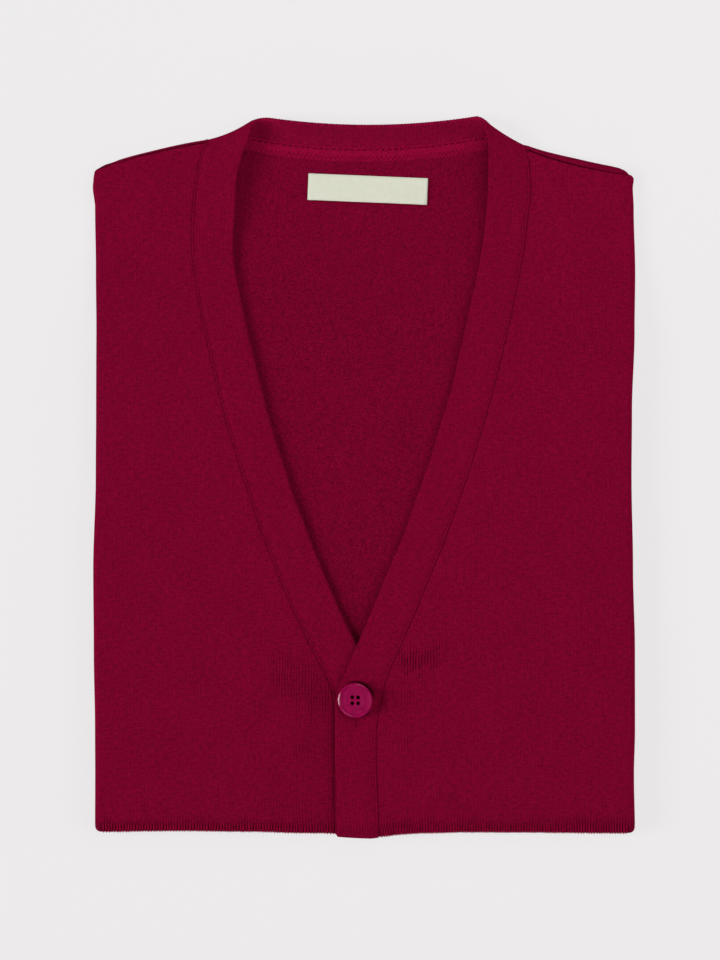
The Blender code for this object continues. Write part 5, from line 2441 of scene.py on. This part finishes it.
@dataclass
class Studio:
    """Pale floor, soft lamps and the camera straight above."""
    floor_half: float = 2.5
    floor_drop: float = 0.0002           # clear of the underside's flat faces
    floor_light: Colour = (0.110, 0.108, 0.109)
    floor_shade: float = 0.985           # of that, in the darkest specks
    floor_grain: float = 900.0
    floor_glow: Colour = (0.745, 0.731, 0.738)      # the table is lit from below as well
    floor_roughness: float = 0.9
    sky: Colour = (1.0, 1.0, 1.0)
    sky_strength: float = 0.02
    frame_high: float = 0.5345           # of the picture, at the height of the side folds
    pile_top: float = 0.008
    height: float = 4.0
    centre: Pair = (-0.0022, -0.0014)
    sensor: float = 36.0
    lamps: Sequence[Lamp] = (
        Lamp("window", (-5.01, -0.44, 3.27), (2.6, 2.6), 307.0),
        Lamp("front", (0.0, -5.72, 1.43), (2.6, 2.6), 87.0),
        Lamp("edge", (5.82, 0.30, 0.92), (2.0, 2.0), 68.0),
        Lamp("right", (4.73, 0.0, 3.69), (4.0, 4.0), 139.0),
        Lamp("top", (0.30, 0.75, 0.80), (0.8, 0.8), 3.7),
    )

    def floor(self) -> None:
        """Lay the floor."""
        h, low = self.floor_half, -self.floor_drop
        mesh = bpy.data.meshes.new("floor")
        corners = [(-h, -h, low), (h, -h, low), (h, h, low), (-h, h, low)]
        mesh.from_pydata(corners, [], [(0, 1, 2, 3)])
        made, w, shader = new_material("pale floor")
        paper = w.noise(w.node("ShaderNodeTexCoord").outputs["Object"], self.floor_grain, 3.0)
        dark = tuple(self.floor_shade * c for c in self.floor_light)
        w.fill(shader, Base_Color=w.shade(paper, dark, self.floor_light),
               Roughness=self.floor_roughness, Specular_IOR_Level=0.0,
               Emission_Color=self.floor_glow, Emission_Strength=1.0)
        mesh.materials.append(made)
        placed("floor", mesh)

    def world(self) -> None:
        """Set even light from all round."""
        world = bpy.data.worlds.new("studio")
        world.use_nodes = True
        w = Wiring(world.node_tree)
        w.fill(world.node_tree.nodes["Background"], Color=self.sky, Strength=self.sky_strength)
        bpy.context.scene.world = world

    def camera(self) -> None:
        """Set the camera that looks straight down at the middle of the picture."""
        data = bpy.data.cameras.new("camera")
        data.sensor_width = self.sensor
        data.lens = self.sensor * self.height / self.frame_high
        obj = placed("camera", data)
        obj.location = (*self.centre, self.pile_top + self.height)
        bpy.context.scene.camera = obj

    def build(self) -> None:
        """Set up the whole studio."""
        self.floor()
        self.world()
        self.camera()
        for lamp in self.lamps:
            lamp.build()
        bpy.context.scene.view_settings.view_transform = "Standard"


# ================================================================ the vest


def main() -> None:
    """Build the studio and every piece of the vest, in the order they lie."""
    logging.basicConfig(level=logging.INFO, format="%(name)s: %(message)s")
    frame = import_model()
    groups = StitchGroups()
    # ribs and neck are copies of the knit painted lighter.
    face, inside, band, tape, ribs, neck = (finish.material(groups) for finish in (
        CRIMSON_FACE, CRIMSON_INSIDE, CRIMSON_BAND, CRIMSON_TAPE, CRIMSON_RIB_PAINTED_LIGHTER, CRIMSON_NECK_PAINTED_LIGHTER))
    thread = SEAM_THREAD.material()

    Studio().build()
    HiddenLayers().build(face)
    Back().build(inside)
    Front(RIGHT, RIGHT_RELIEF, ribs, rib_pitch=1.56).build(face)
    Front(LEFT, LEFT_RELIEF, ribs, rib_pitch=1.48).build(face)
    FrontBand(RIGHT, turns_under=False).build(band)
    FrontBand(LEFT, turns_under=True, ridge_bow=1.0, curl_at_seam=1.0).build(band)
    NeckBand().build(neck)
    NeckTape().build(tape)
    Label().build(RibbonFinish().material())
    Sewing(StitchRows()).build(thread, NECK_THREAD_PAINTED_LIGHTER.material())
    button = frame["nodes"]["button"]
    button.data.materials.clear()
    button.data.materials.append(GlossFinish().material())


if __name__ == "__main__":
    main()
